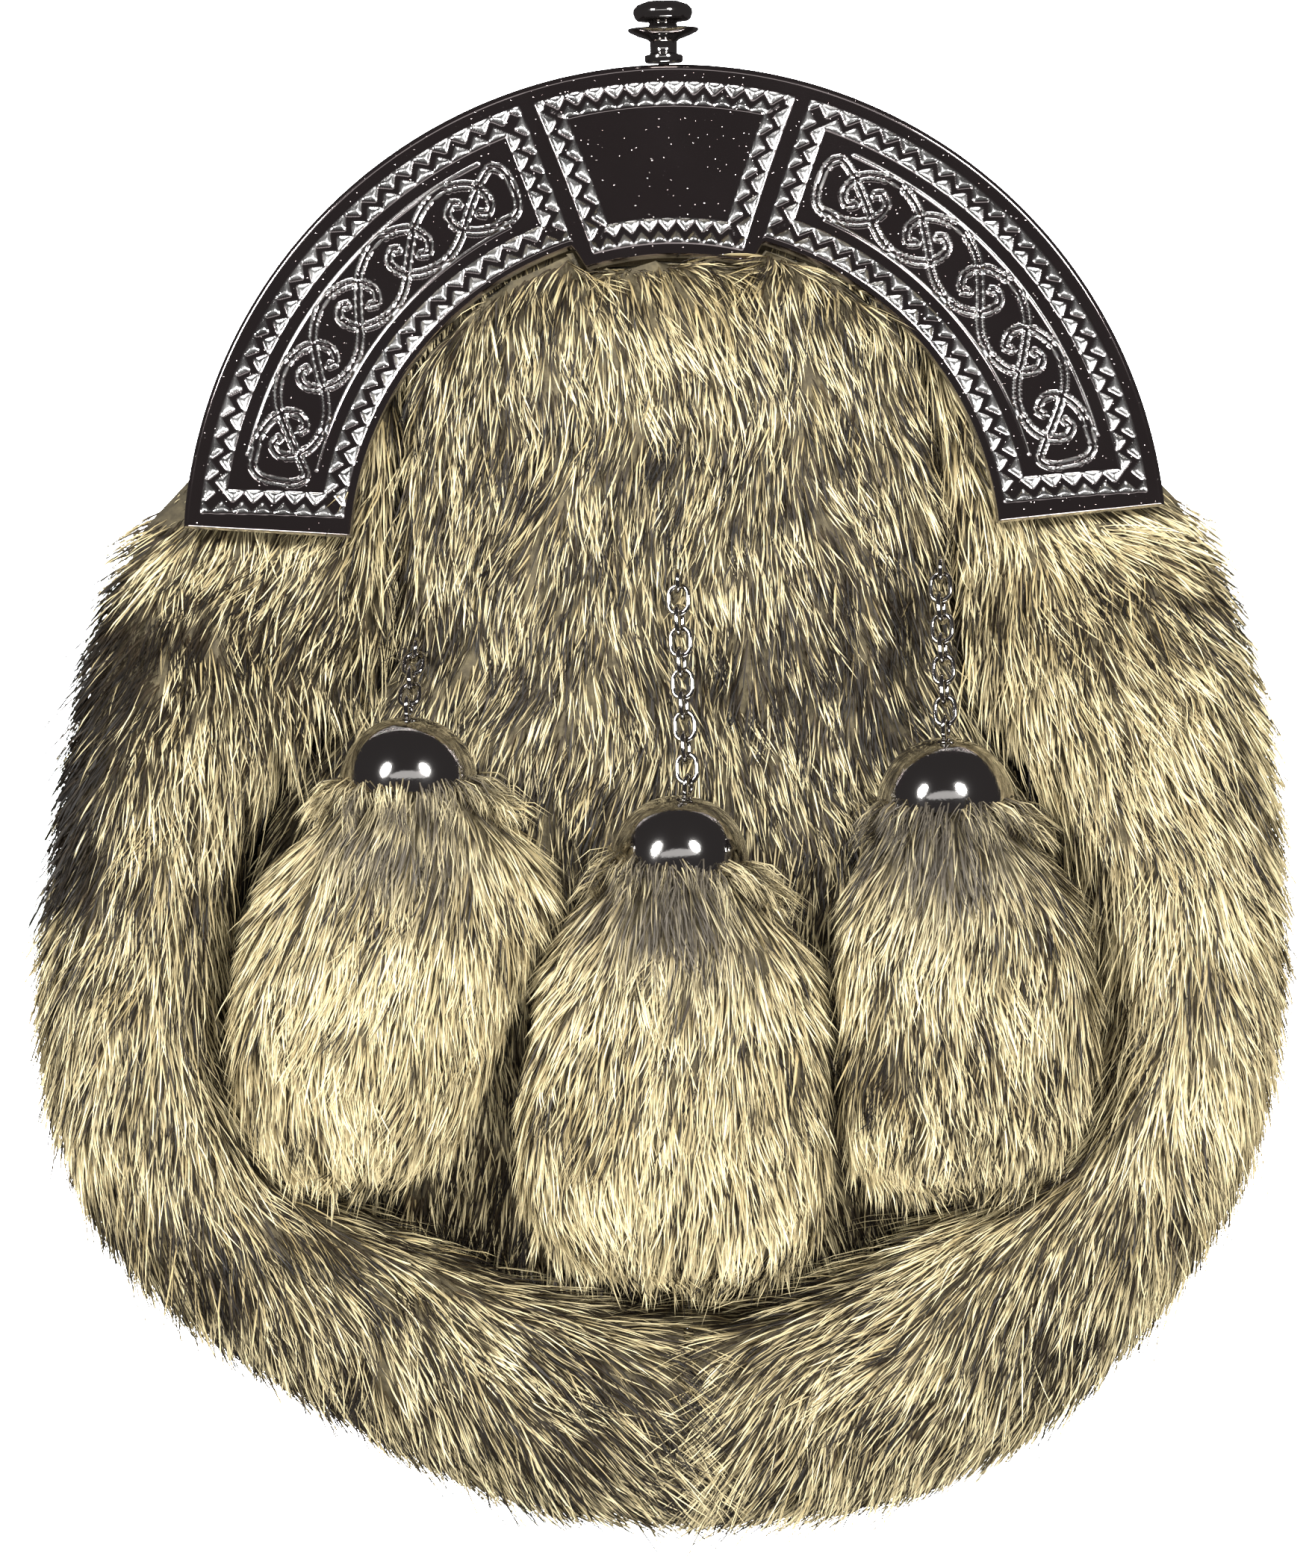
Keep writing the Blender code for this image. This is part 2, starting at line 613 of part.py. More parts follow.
def top_arc_reach(turn, radius):
    """Reach from the pouch's middle to the arc of this radius about the arch's middle."""
    ray = Vector((math.cos(math.radians(turn)), math.sin(math.radians(turn))))
    along = -POUCH_MIDDLE.dot(ray)
    offset = POUCH_MIDDLE.length_squared - along ** 2
    return along + math.sqrt(radius ** 2 - offset)


def panel_border(side, share):
    """The front panel's edge in plan: its four sides, each from share 0 to 1, down or to the right."""
    left_end, right_end = GUSSET_LEFT[-1][0], GUSSET_RIGHT[-1][0] - 360
    low_left, low_right = PANEL_CORNER_TURNS
    away = math.degrees(GAP / ARCH_RADIUS)
    if side == "top":
        turn = left_end - away + (right_end + away - left_end + away) * share
        return pouch_place(turn, top_arc_reach(turn, PANEL_TOP_RADIUS), 0)
    if side == "bottom":
        turn = low_left + (low_right - low_left) * share
        rows = GUSSET_LEFT if turn < SEAM_TURN else GUSSET_RIGHT
        return pouch_place(turn, between(rows, turn)[1] * POUCH_REACH - SEAM_GAP, 0)
    rows = GUSSET_LEFT if side == "left" else GUSSET_RIGHT
    end, low = (left_end, low_left) if side == "left" else (right_end + 360, low_right)
    shoulder = 2 / PANEL_CELLS
    seam_reach = between(rows, end)[1] * POUCH_REACH - SEAM_GAP
    if share < shoulder:
        start = end - away if side == "left" else end + away
        top_reach = top_arc_reach(start, PANEL_TOP_RADIUS)
        return pouch_place(start, top_reach + (seam_reach - top_reach) * share / shoulder, 0)
    turn = end + (low - end) * (share - shoulder) / (1 - shoulder)
    return pouch_place(turn, between(rows, turn)[1] * POUCH_REACH - SEAM_GAP, 0)


def panel_plan(across, down):
    """A point of the front panel in plan, blended from its four sides."""
    point = panel_border("top", across) * (1 - down) + panel_border("bottom", across) * down
    point += panel_border("left", down) * (1 - across) + panel_border("right", down) * across
    for side_share, side in ((1 - across, "left"), (across, "right")):
        point -= panel_border(side, 0) * (side_share * (1 - down))
        point -= panel_border(side, 1) * (side_share * down)
    return point


def panel_hide_z(across, down):
    """The hide bows out a little between its edges."""
    return PANEL_HIDE_Z + PANEL_RISE * math.sin(math.pi * across) * math.sin(math.pi * down)


def panel_fur_z(across, down):
    """The fur's surface, which thins towards the seams."""
    edge = min(across, 1 - across, 1 - down) * PANEL_CELLS / 2
    share = PANEL_EDGE_FUR + (1 - PANEL_EDGE_FUR) * min(edge, 1.0)
    return panel_hide_z(across, down) + PANEL_FUR * share


def make_front_panel():
    def fur_point(row, column):
        tip = is_lock_tip(row, column, PANEL_CELLS, PANEL_CELLS)
        down = (row + (0.3 if tip and row < PANEL_CELLS - 1 else 0.0)) / PANEL_CELLS
        across = column / PANEL_CELLS
        point = panel_plan(across, down)
        point.z = panel_fur_z(across, down) - (0.0 if tip else LOCK_DEPTH)
        return point

    def hide_point(row, column):
        point = panel_plan(column / PANEL_CELLS, row / PANEL_CELLS)
        point.z = panel_hide_z(column / PANEL_CELLS, row / PANEL_CELLS)
        return point

    panel = add_mesh("front_panel", wall_mesh(hide_point, fur_point, PANEL_CELLS, PANEL_CELLS), parts)
    cut_or_join(panel, "DIFFERENCE", cantle_seat)
    return finished(panel, "fur", 60.0)


def pierced(piece, name, outline, z_low, z_high):
    """Cuts a flat opening through the piece."""
    cutter = as_cutter(slab(name, [outline], z_low, z_high, cutters))
    cut_or_join(piece, "DIFFERENCE", cutter)


def round_box(width, height, middle, corner, steps=4):
    """A rectangle with round corners, in plan."""
    outline = []
    for quarter, (side_x, side_y) in enumerate(((1, 1), (-1, 1), (-1, -1), (1, -1))):
        centre = Vector(middle) + Vector((side_x * (width / 2 - corner), side_y * (height / 2 - corner)))
        for step in range(steps + 1):
            angle = (quarter + step / steps) * math.pi / 2
            outline.append(centre + Vector((corner * math.cos(angle), corner * math.sin(angle))))
    return outline


def back_outline():
    """The back's edge in plan: just inside both rolls, then round the top arc."""
    left_end, right_end = GUSSET_LEFT[-1][0], GUSSET_RIGHT[-1][0] - 360
    left, right = roll_turns(GUSSET_LEFT), roll_turns(GUSSET_RIGHT)
    away = math.degrees(SEAM_GAP / ARCH_RADIUS)
    outline = [pouch_place(left_end - away, back_reach(GUSSET_LEFT, left_end), 0).xy]
    outline += [pouch_place(turn, back_reach(GUSSET_LEFT, turn), 0).xy for turn in left[1:-1]]
    outline += [pouch_place(turn, back_reach(GUSSET_RIGHT, turn), 0).xy for turn in right[:0:-1]]
    outline.append(pouch_place(right_end + away, back_reach(GUSSET_RIGHT, right_end + 360), 0).xy)
    for step in range(TOP_ARC_STEPS + 1):
        turn = right_end + away + (left_end - right_end - 2 * away) * step / TOP_ARC_STEPS
        outline.append(pouch_place(turn, top_arc_reach(turn, BACK_TOP_RADIUS), 0).xy)
    return outline


def make_back_panel():
    """The leather back, a flat plate with a wall round its top edge and the pouch's mouth in it."""
    top = BACK_Z + BACK_THICKNESS
    back = slab("back_panel", [back_outline()], BACK_Z, top, parts)
    ring = arc(BACK_TOP_RADIUS, -TOP_WALL_ANGLE, TOP_WALL_ANGLE)
    ring += arc(BACK_TOP_RADIUS - BACK_THICKNESS, TOP_WALL_ANGLE, -TOP_WALL_ANGLE)
    wall = as_cutter(slab("top_wall", [ring], BACK_Z + BACK_THICKNESS / 2, PANEL_HIDE_Z - GAP, cutters))
    cut_or_join(back, "UNION", wall)
    mouth = round_box(MOUTH_WIDTH, MOUTH_HEIGHT, (0, MOUTH_Y), MOUTH_HEIGHT / 3)
    pierced(back, "mouth", mouth, BACK_Z - REACH_PAST, top + REACH_PAST)
    return finished(back, "black_leather")


def make_flap():
    """The flap over the mouth, with its lower corners well rounded."""
    half, bottom = FLAP_WIDTH / 2, FLAP_TOP_Y - FLAP_LENGTH
    corner = FLAP_LENGTH / 2
    outline = [(half, FLAP_TOP_Y), (-half, FLAP_TOP_Y)]
    for side in (-1, 1):
        centre = (side * (half - corner), bottom + corner)
        start = math.pi if side < 0 else 1.5 * math.pi
        for step in range(FLAP_CORNER_STEPS + 1):
            angle = start + math.pi / 2 * step / FLAP_CORNER_STEPS
            outline.append((centre[0] + corner * math.cos(angle), centre[1] + corner * math.sin(angle)))
    flap = slab("back_flap", [outline], BACK_Z - GAP - FLAP_THICKNESS, BACK_Z - GAP, parts)
    return finished(flap, "black_leather")


def make_stud():
    """The flap's stud, a low button whose crown faces the floor."""
    crown_share, edge_share = 0.55, 0.4
    profile = [
        (0, STUD_HEIGHT), (STUD_RADIUS * crown_share, STUD_HEIGHT),
        (STUD_RADIUS, STUD_HEIGHT * edge_share), (STUD_RADIUS, 0), (0, 0),
    ]
    foot_z = BACK_Z - 2 * GAP - FLAP_THICKNESS
    place = Matrix.Translation((0, FLAP_TOP_Y - FLAP_LENGTH + STUD_UP_FLAP, foot_z))
    stud = turned("flap_stud", profile, CAP_SIDES, parts, place @ Matrix.Rotation(math.pi, 4, "X"))
    return finished(stud, "bright_metal")


def make_strap_loop(name, side):
    """A leather loop on the back that the hip strap passes through, along X."""
    height = BACK_Z - GAP
    width = LOOP_STRAP_WIDTH + 2 * LOOP_WALL
    outer = round_box(width, height, (0, height / 2), LOOP_WALL, 1)
    inner = round_box(LOOP_STRAP_WIDTH, height - 2 * LOOP_WALL, (0, height / 2), LOOP_WALL / 3, 1)
    loop = slab(name, [outer, inner], -LOOP_LENGTH / 2, LOOP_LENGTH / 2, parts)
    upright = Matrix.Rotation(math.pi / 2, 4, "Z") @ Matrix.Rotation(math.pi / 2, 4, "X")
    loop.matrix_world = Matrix.Translation((side * LOOP_X, LOOP_Y, 0)) @ upright
    return finished(loop, "black_leather")


def cap_matrix(side):
    """The cap's frame, at the middle of its rim: local +Z to its crown, +X across, +Y to the floor."""
    rim = Vector((*TASSELS[side]["rim"], 0)) * MM
    rim.z = BED_Z + GAP + CAP_RADIUS
    lean = math.radians(TASSELS[side]["lean"])
    up = Vector((math.sin(lean), math.cos(lean), 0))
    front = Vector((0, 0, 1))
    turn = Matrix((up.cross(front), -front, up)).transposed().to_4x4()
    return Matrix.Translation(rim) @ turn


def make_tassel(side):
    """A fur tassel: its head fills the cap, and its locks lie towards the tip."""
    place = cap_matrix(side)
    tip = Vector((*TASSELS[side]["tip"], 0)) * MM
    tip.z = place.translation.z
    tip = place.inverted() @ tip
    head = (CAP_HEIGHT - CAP_WALL) * HEAD_SHARE
    shape = bmesh.new()
    bmesh.ops.create_uvsphere(shape, u_segments=TASSEL_SIDES, v_segments=TASSEL_RINGS, radius=1)
    for vert in shape.verts:
        ring = round(math.acos(max(-1, min(1, vert.co.z))) / math.pi * TASSEL_RINGS)
        column = round(math.atan2(vert.co.y, vert.co.x) / math.tau * TASSEL_SIDES)
        vert.co = tassel_point(side, ring, column, tip, head)
    tassel = add_mesh(f"tassel_{side}", shape, parts, place)
    return finished(tassel, "fur", 60.0)


def tassel_point(side, ring, column, tip, head):
    """A point of the tassel in its cap's frame: rings 0 to HEAD_RINGS are in the cap."""
    angle = column / TASSEL_SIDES * math.tau
    if ring <= HEAD_RINGS:
        share = ring / HEAD_RINGS
        radius = (CAP_RADIUS - CAP_WALL - CAP_CLEARANCE) * math.sin(share * math.pi / 2)
        return Vector((radius * math.cos(angle), radius * math.sin(angle), head * math.cos(share * math.pi / 2)))
    tip_lock = ring < TASSEL_RINGS - 1 and (ring + column) % 2 == 1
    steps = TASSEL_RINGS - HEAD_RINGS
    share = (ring - HEAD_RINGS + (0.25 if tip_lock else 0.0)) / steps
    left, right, thick = between(TASSEL_ROWS[side], share)
    depth = 0.0 if tip_lock else LOCK_DEPTH * min(1.0, 2 * (1 - share))
    half_width = (right if math.cos(angle) > 0 else left) * TASSEL_HALF_WIDTH - depth
    half_thick = thick * TASSEL_THICKNESS / 2 - depth / 2
    x = tip.x * share + max(half_width, 0) * math.cos(angle)
    y = CAP_RADIUS - half_thick - depth / 2
    if ring < TASSEL_RINGS:
        y += half_thick * math.sin(angle)
    return Vector((x, y, tip.z * share))


def cap_profile():
    """The bell cap's wall: down its outside, then up its inside."""
    outside = [(CAP_RADIUS * radius, CAP_HEIGHT * height) for radius, height in CAP_PROFILE][::-1]
    inner_radius, inner_height = CAP_RADIUS - CAP_WALL, CAP_HEIGHT - CAP_WALL
    inside = [(inner_radius * radius, inner_height * height) for radius, height in CAP_PROFILE]
    return outside + inside


def ring_piece(name, radius, wire, stretch, place, collection):
    """A wire ring in the local XY plane, drawn out along X."""
    bpy.ops.mesh.primitive_torus_add(
        major_radius=radius, minor_radius=wire, major_segments=LINK_SEGMENTS, minor_segments=LINK_WIRE_SIDES
    )
    torus = bpy.context.active_object
    shape = bmesh.new()
    shape.from_mesh(torus.data)
    bpy.data.objects.remove(torus)
    for vert in shape.verts:
        if abs(vert.co.x) > wire:
            vert.co.x += math.copysign(stretch, vert.co.x)
    return add_mesh(name, shape, collection, place)


def ring_place(centre, along, hole):
    """The frame of a ring: local X along, local Z through its hole."""
    across = (hole - along * hole.dot(along)).normalized()
    turn = Matrix((along, across.cross(along), across)).transposed().to_4x4()
    return Matrix.Translation(centre) @ turn


def chain_run(side):
    """Where the chain's two rings are, and the way from the eye's to the cap's."""
    row = TASSELS[side]
    cap_ring = cap_matrix(side) @ Vector((0, 0, CAP_HEIGHT + EYE_RADIUS - EYE_SUNK))
    hold = EYE_RADIUS - EYE_WIRE - LINK_WIRE - GAP
    length = 2 * hold + LINK_LENGTH - 2 * LINK_WIRE + (row["links"] - 1) * LINK_PITCH
    eye_z = BED_Z + GAP + EYE_RADIUS + EYE_WIRE
    bearing = Vector((*row["eye"], 0)) * MM - cap_ring
    bearing.z = 0
    drop = cap_ring.z - eye_z
    eye = cap_ring + bearing.normalized() * math.sqrt(length ** 2 - drop ** 2)
    eye.z = eye_z
    return {"eye": eye, "cap_ring": cap_ring, "along": (cap_ring - eye).normalized(), "hold": hold}


def link_side(along, index):
    """The way across link number index: every link is a quarter turn on from the one before."""
    level = along.cross(Vector((0, 0, 1))).normalized()
    roll = LINK_TWIST + index * math.pi / 2
    return level * math.cos(roll) + along.cross(level) * math.sin(roll)


def make_cap(side):
    """A bell cap with its eye soldered on the crown."""
    run = chain_run(side)
    place = cap_matrix(side)
    cap = turned(f"bell_cap_{side}", cap_profile(), CAP_SIDES, parts, place)
    hole = link_side(run["along"], TASSELS[side]["links"] - 1)
    crown = place.to_3x3() @ Vector((0, 0, 1))
    place_ring = ring_place(run["cap_ring"], crown, hole)
    ring = as_cutter(ring_piece(f"cap_ring_{side}", EYE_RADIUS, EYE_WIRE, 0, place_ring, cutters))
    cut_or_join(cap, "UNION", ring)
    return finished(cap, "bright_metal")


def rod(name, radius, low, high, plan):
    """An upright round rod between two heights, as a cutter."""
    shape = bmesh.new()
    bmesh.ops.create_cone(
        shape, cap_ends=True, segments=STEM_SIDES, radius1=radius, radius2=radius, depth=high - low
    )
    return as_cutter(add_mesh(name, shape, cutters, Matrix.Translation((plan.x, plan.y, (low + high) / 2))))


def make_chain_eye(side, panel):
    """A screw eye: a ring on a stem that goes down into the front panel's fur."""
    run = chain_run(side)
    centre = run["eye"]
    level = run["along"].cross(Vector((0, 0, 1))).normalized()
    place = ring_place(centre, Vector((0, 0, 1)), level)
    eye = ring_piece(f"chain_eye_{side}", EYE_RADIUS, EYE_WIRE, 0, place, parts)
    foot = panel_top_near(centre) - STEM_DEPTH
    stem = rod(f"stem_{side}", STEM_RADIUS, foot + GAP, centre.z - EYE_RADIUS, centre)
    cut_or_join(eye, "UNION", stem)
    bore = rod(f"bore_{side}", STEM_RADIUS + GAP, foot, BED_Z + REACH_PAST, centre)
    cut_or_join(panel, "DIFFERENCE", bore)
    return finished(eye, "bright_metal")


def panel_top_near(place):
    """The fur's height at the front panel's grid point nearest to a place in plan."""
    cells = [(column / PANEL_CELLS, row / PANEL_CELLS)
             for column in range(PANEL_CELLS + 1) for row in range(PANEL_CELLS + 1)]
    nearest = min(cells, key=lambda cell: (panel_plan(*cell).xy - place.xy).length)
    return panel_fur_z(*nearest)


def make_chain(side):
    run = chain_run(side)
    along = run["along"]
    first = run["eye"] + along * (run["hold"] + LINK_LENGTH / 2 - LINK_WIRE)
    radius = LINK_WIDTH / 2 - LINK_WIRE
    stretch = (LINK_LENGTH - LINK_WIDTH) / 2
    for index in range(TASSELS[side]["links"]):
        centre = first + along * (index * LINK_PITCH)
        place = ring_place(centre, along, along.cross(link_side(along, index)))
        name = f"link_{side}_{index + 1}"
        finished(ring_piece(name, radius, LINK_WIRE, stretch, place, parts), "bright_metal")


def stand_on_origin():
    """Moves the frame so that the middle of the whole's underside is at the origin."""
    bpy.context.view_layer.update()
    graph = bpy.context.evaluated_depsgraph_get()
    corners = []
    for piece in parts.objects:
        if piece.type == "MESH":
            solid = piece.evaluated_get(graph)
            corners += [solid.matrix_world @ Vector(corner) for corner in solid.bound_box]
    low = Vector([min(corner[axis] for corner in corners) for axis in range(3)])
    high = Vector([max(corner[axis] for corner in corners) for axis in range(3)])
    frame.location = (-(low.x + high.x) / 2, -(low.y + high.y) / 2, -low.z)


def main():
    make_cantle()
    make_knob()
    make_gusset("gusset_left", GUSSET_LEFT)
    make_gusset("gusset_right", GUSSET_RIGHT)
    panel = make_front_panel()
    make_back_panel()
    make_flap()
    make_stud()
    make_strap_loop("strap_loop_left", -1)
    make_strap_loop("strap_loop_right", 1)
    for side in TASSELS:
        make_tassel(side)
        make_cap(side)
        make_chain_eye(side, panel)
        make_chain(side)
    stand_on_origin()


for leftover in list(bpy.data.objects):
    bpy.data.objects.remove(leftover)
parts = new_collection("sporran_pouch")
cutters = new_collection("cutters")
frame = bpy.data.objects.new("pouch_frame", None)
parts.objects.link(frame)
cantle_seat = make_seat()
main()
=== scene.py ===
"""The look of the dress sporran: fur in strips, a cast relief on the arch, turned metal and leather."""

import math

import bmesh
import bpy
import numpy as np
from mathutils import Matrix, Vector, geometry
from mathutils.bvhtree import BVHTree


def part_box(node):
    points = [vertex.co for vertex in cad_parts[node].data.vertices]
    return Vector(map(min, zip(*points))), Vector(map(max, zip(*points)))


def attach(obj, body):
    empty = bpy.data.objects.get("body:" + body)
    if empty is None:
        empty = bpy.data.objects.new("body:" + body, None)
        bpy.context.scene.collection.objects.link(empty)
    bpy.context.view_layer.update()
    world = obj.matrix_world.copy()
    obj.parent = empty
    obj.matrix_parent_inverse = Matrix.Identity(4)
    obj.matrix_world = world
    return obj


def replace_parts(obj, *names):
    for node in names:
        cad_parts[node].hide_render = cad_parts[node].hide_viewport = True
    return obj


MM = 0.001
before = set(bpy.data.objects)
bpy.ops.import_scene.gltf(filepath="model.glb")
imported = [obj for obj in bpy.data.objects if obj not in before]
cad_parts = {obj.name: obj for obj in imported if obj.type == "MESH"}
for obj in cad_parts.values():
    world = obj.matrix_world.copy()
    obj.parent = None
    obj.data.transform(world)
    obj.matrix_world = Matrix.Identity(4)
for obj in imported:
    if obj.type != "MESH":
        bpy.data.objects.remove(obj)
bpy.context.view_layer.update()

# The arch's middle in the row frame: the CAD's plate is 79.0 mm high above it
plate_low, plate_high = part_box("cantle")
ARCH_X = (plate_low.x + plate_high.x) / 2 / MM
ARCH_Y = plate_high.y / MM - 79.0
PLATE_TOP = plate_high.z / MM
PLATE_BASE = plate_low.z / MM

# Cantle, in mm and degrees about the arch's middle
OUTER_RADIUS = 79.1
INNER_RADIUS = 52.0
TAB_RADIUS = 48.0
END_ANGLE = 85.4
TAB_ROOT, TAB_TIP = 17.2, 15.5
BAND_WIDTH = 3.8
SIDE_FIELD = {"inner": 53.6, "outer": 76.6, "near": (16.8, 17.8), "far": (82.0, 83.4)}
CENTRE_FIELD = {"inner": 50.6, "outer": 76.4, "near": (-13.8, -15.9), "far": (13.8, 15.9)}
SIDE_TEETH = {"outer": 25, "inner": 18, "end": 7}
CENTRE_TEETH = {"outer": 13, "inner": 9, "end": 7}
CREST_SWING = 0.23
CREST_HALF_WIDTH = 0.27
CREST_SLOPE, RIM_SLOPE = 1.3, 1.1
CELL_DEPTH = 0.5
EDGE_ROUND = 0.7
FULL_CUT = 0.16
EDGE_HIGHLIGHT_WIDTH = 0.4
GRID_COLUMNS, GRID_ROWS = 820, 104

# Interlace: along in pitches, across in half widths, + towards the arch's middle
KNOT_COUNT = 5
KNOT_PITCH = 10.45
FIRST_KNOT = 29.3
KNOT_RADIUS = 65.0
KNOT_HALF_WIDTH = 4.9
HALF_STRAND = (
    ("hook_end", -1.09, 0.30), ("hook_foot", -1.19, 0.42), ("hook_side", -1.30, 0.12),
    ("hook_shoulder", -1.26, -0.36), ("rise", -1.13, -0.70), ("crown_start", -0.95, -0.90),
    ("crown", -0.74, -0.98), ("crown_end", -0.52, -0.88), ("fall", -0.31, -0.63),
    ("crossing", -0.16, -0.33), ("middle", 0.0, 0.0),
)
STRAND_CORE = 0.27
GROOVE_WIDTH = 0.46
GROOVE_DEPTH = 0.4
GROOVE_SLOPE = 3.0
OUTLINE_ACROSS = 1.16
OUTLINE_WIDTH = 0.42

# Camera: the photograph looks straight down and leans by this much
CAMERA_LEAN = 1.3
CAMERA_HEIGHT = 1600.0
VIEW_HEIGHT = 252.0
VIEW_PLANE = 25.0
VIEW_MIDDLE = (-4.13, -36.5)

TASSELS = {
    "left": {"rim": (-43.2, -37.0), "lean": 1.3, "tip": (-53.5, -99.8)},
    "middle": {"rim": (-0.6, -50.4), "lean": 7.5, "tip": (-4.6, -116.6)},
    "right": {"rim": (42.0, -42.2), "lean": 1.3, "tip": (42.6, -103.0)},
}
CAP_RADIUS = 11.15
CAP_HEIGHT = 12.0
CAP_WALL = 0.9
CAP_AXIS_Z = 33.0 + 0.3 + CAP_RADIUS
EYE_RADIUS, EYE_WIRE = 1.75, 0.45
LINK_LENGTH, LINK_WIDTH, LINK_WIRE = 5.6, 4.2, 0.45
POUCH_MIDDLE = (-3.0, -57.0)

# Fur colours, sRGB
CREAM, SAND, TAUPE = "F1E1B2", "D0BA84", "857550"
UMBER, SOOT, ASH = "453825", "17130F", "554E43"

# Shares of hairs that are dark all along, dark at the tip, and dark in the middle
DARK_HAIRS, TICKED_HAIRS, BARRED_HAIRS = 0.28, 0.42, 0.2

# Hair: length, width and how far the root is sunk in mm, lift in degrees, hairs in a clump or tuft,
# how far they gather to its middle, and how far the tip curls back
ROLL_HAIR = {"count": 36000, "length": 10.0, "width": 0.25, "lift": 27, "sunk": 2.0,
             "clump": 18, "gather": 0.38, "curl": 0.0}
GUARD_HAIR = ROLL_HAIR | {"count": 4300, "length": 14.0, "width": 0.2, "lift": 36, "clump": 8}
FRONT_HAIR = ROLL_HAIR | {"count": 34000, "length": 8.5, "lift": 20, "sunk": 1.6}
TASSEL_HAIR = ROLL_HAIR | {"count": 11500, "length": 9.0, "lift": 17, "sunk": 1.2, "clump": 24}
COLLAR_HAIR = TASSEL_HAIR | {"count": 1000, "lift": 46, "sunk": 0.6, "clump": 10, "curl": 1.35}
HAIR_SHARE = 1.0
STEPS = np.array([0.0, 0.4, 0.75, 1.0])
TAPER = np.array([0.8, 1.0, 0.7])
DROOP, SIDE_BEND = 0.35, 0.09
WAVE_SWIRL, TUFT_SWIRL, STRAY_SWIRL = 0.22, 0.144, 0.13
COVERED_LENGTH = 0.3
TAB_HALF_WIDTH, ARCH_FOOT = 14.5, 9.0
FLOOR_GAP = 0.15
FRONT_FUR_BASE = 20.5

# Light: name, place and size in metres, watts, and whether the metal mirrors it
LIGHTS = (
    ("lamp_left", (-0.66, 0.50, 0.79), (0.34, 0.24), 17.0, True),
    ("lamp_right", (0.48, 0.52, 0.90), (0.34, 0.24), 14.0, True),
    ("ceiling", (0.0, 0.39, 1.05), (1.3, 0.2), 0.5, True),
    ("sill", (0.1, -0.85, 0.55), (0.9, 0.25), 5.0, True),
    ("soft_front", (0.25, -0.35, 1.1), (0.8, 0.8), 7.0, False),
)
DIM_ROOM = (0.052, 0.047, 0.048, 1)
SKY = (0.7, 0.7, 0.7, 1)
WHITE_PAPER = (12, 12, 12, 1)

# From mm about the arch's middle to the row frame in metres
ROW = Matrix.Scale(MM, 4) @ Matrix.Translation((ARCH_X, ARCH_Y, 0))

random = np.random.default_rng(2814)


def linear(colour):
    """A hex sRGB colour as linear red, green and blue."""
    channels = [int(colour[i:i + 2], 16) / 255 for i in (0, 2, 4)]
    return [c / 12.92 if c <= 0.04045 else ((c + 0.055) / 1.055) ** 2.4 for c in channels]


def rgba(colour):
    """A hex sRGB colour as a socket takes it."""
    return (*linear(colour), 1)


def to_row(points):
    """Points in mm about the arch's middle, in the row frame."""
    points = np.asarray(points, float)
    return (points + np.array([ARCH_X, ARCH_Y, 0.0])) * MM


def from_row(points):
    """Points in the row frame, in mm about the arch's middle."""
    return np.asarray(points, float) / MM - np.array([ARCH_X, ARCH_Y, 0.0])


# Materials


def fill(owner, node, inputs):
    """Sets or links a node's inputs, by name or by number."""
    for socket, value in inputs.items():
        if isinstance(value, bpy.types.NodeSocket):
            owner.node_tree.links.new(value, node.inputs[socket])
        else:
            node.inputs[socket].default_value = value


def add_node(owner, kind, inputs=None, **settings):
    """A node with its settings, and its inputs set or linked."""
    node = owner.node_tree.nodes.new(kind)
    for name, value in settings.items():
        setattr(node, name, value)
    fill(owner, node, inputs or {})
    return node


def new_material(name):
    material = bpy.data.materials.new(name)
    material.use_nodes = True
    return material, material.node_tree.nodes["Principled BSDF"]


def cells(size):
    """The scale of a pattern on Object coordinates whose grain is this many mm across."""
    return 1.0 / (size * MM)


def polished_metal(name, tone, roughness):
    """Buffed nickel plate: bright, with faint hairline marks and a slightly uneven shine.

    Buffing leaves cloudy patches a few mm wide. Its hairlines are about 0.05 mm apart, and are drawn
    at 0.38 mm so that they show.
    """
    material, shader = new_material(name)
    place = add_node(material, "ShaderNodeTexCoord").outputs["Object"]
    cloud = add_node(material, "ShaderNodeTexNoise", {"Vector": place, "Scale": cells(5.5), "Detail": 4.0})
    shine = add_node(material, "ShaderNodeMapRange", {
        "Value": cloud.outputs["Fac"], "To Min": roughness * 0.7, "To Max": roughness * 1.5})
    marks = add_node(material, "ShaderNodeTexNoise", {"Vector": place, "Scale": cells(0.38), "Detail": 2.0})
    bump = add_node(material, "ShaderNodeBump", {
        "Height": marks.outputs["Fac"], "Strength": 0.25, "Distance": 0.02 * MM})
    fill(material, shader, {
        "Base Color": rgba(tone), "Metallic": 1.0,
        "Roughness": shine.outputs["Result"], "Normal": bump.outputs["Normal"]})
    return material


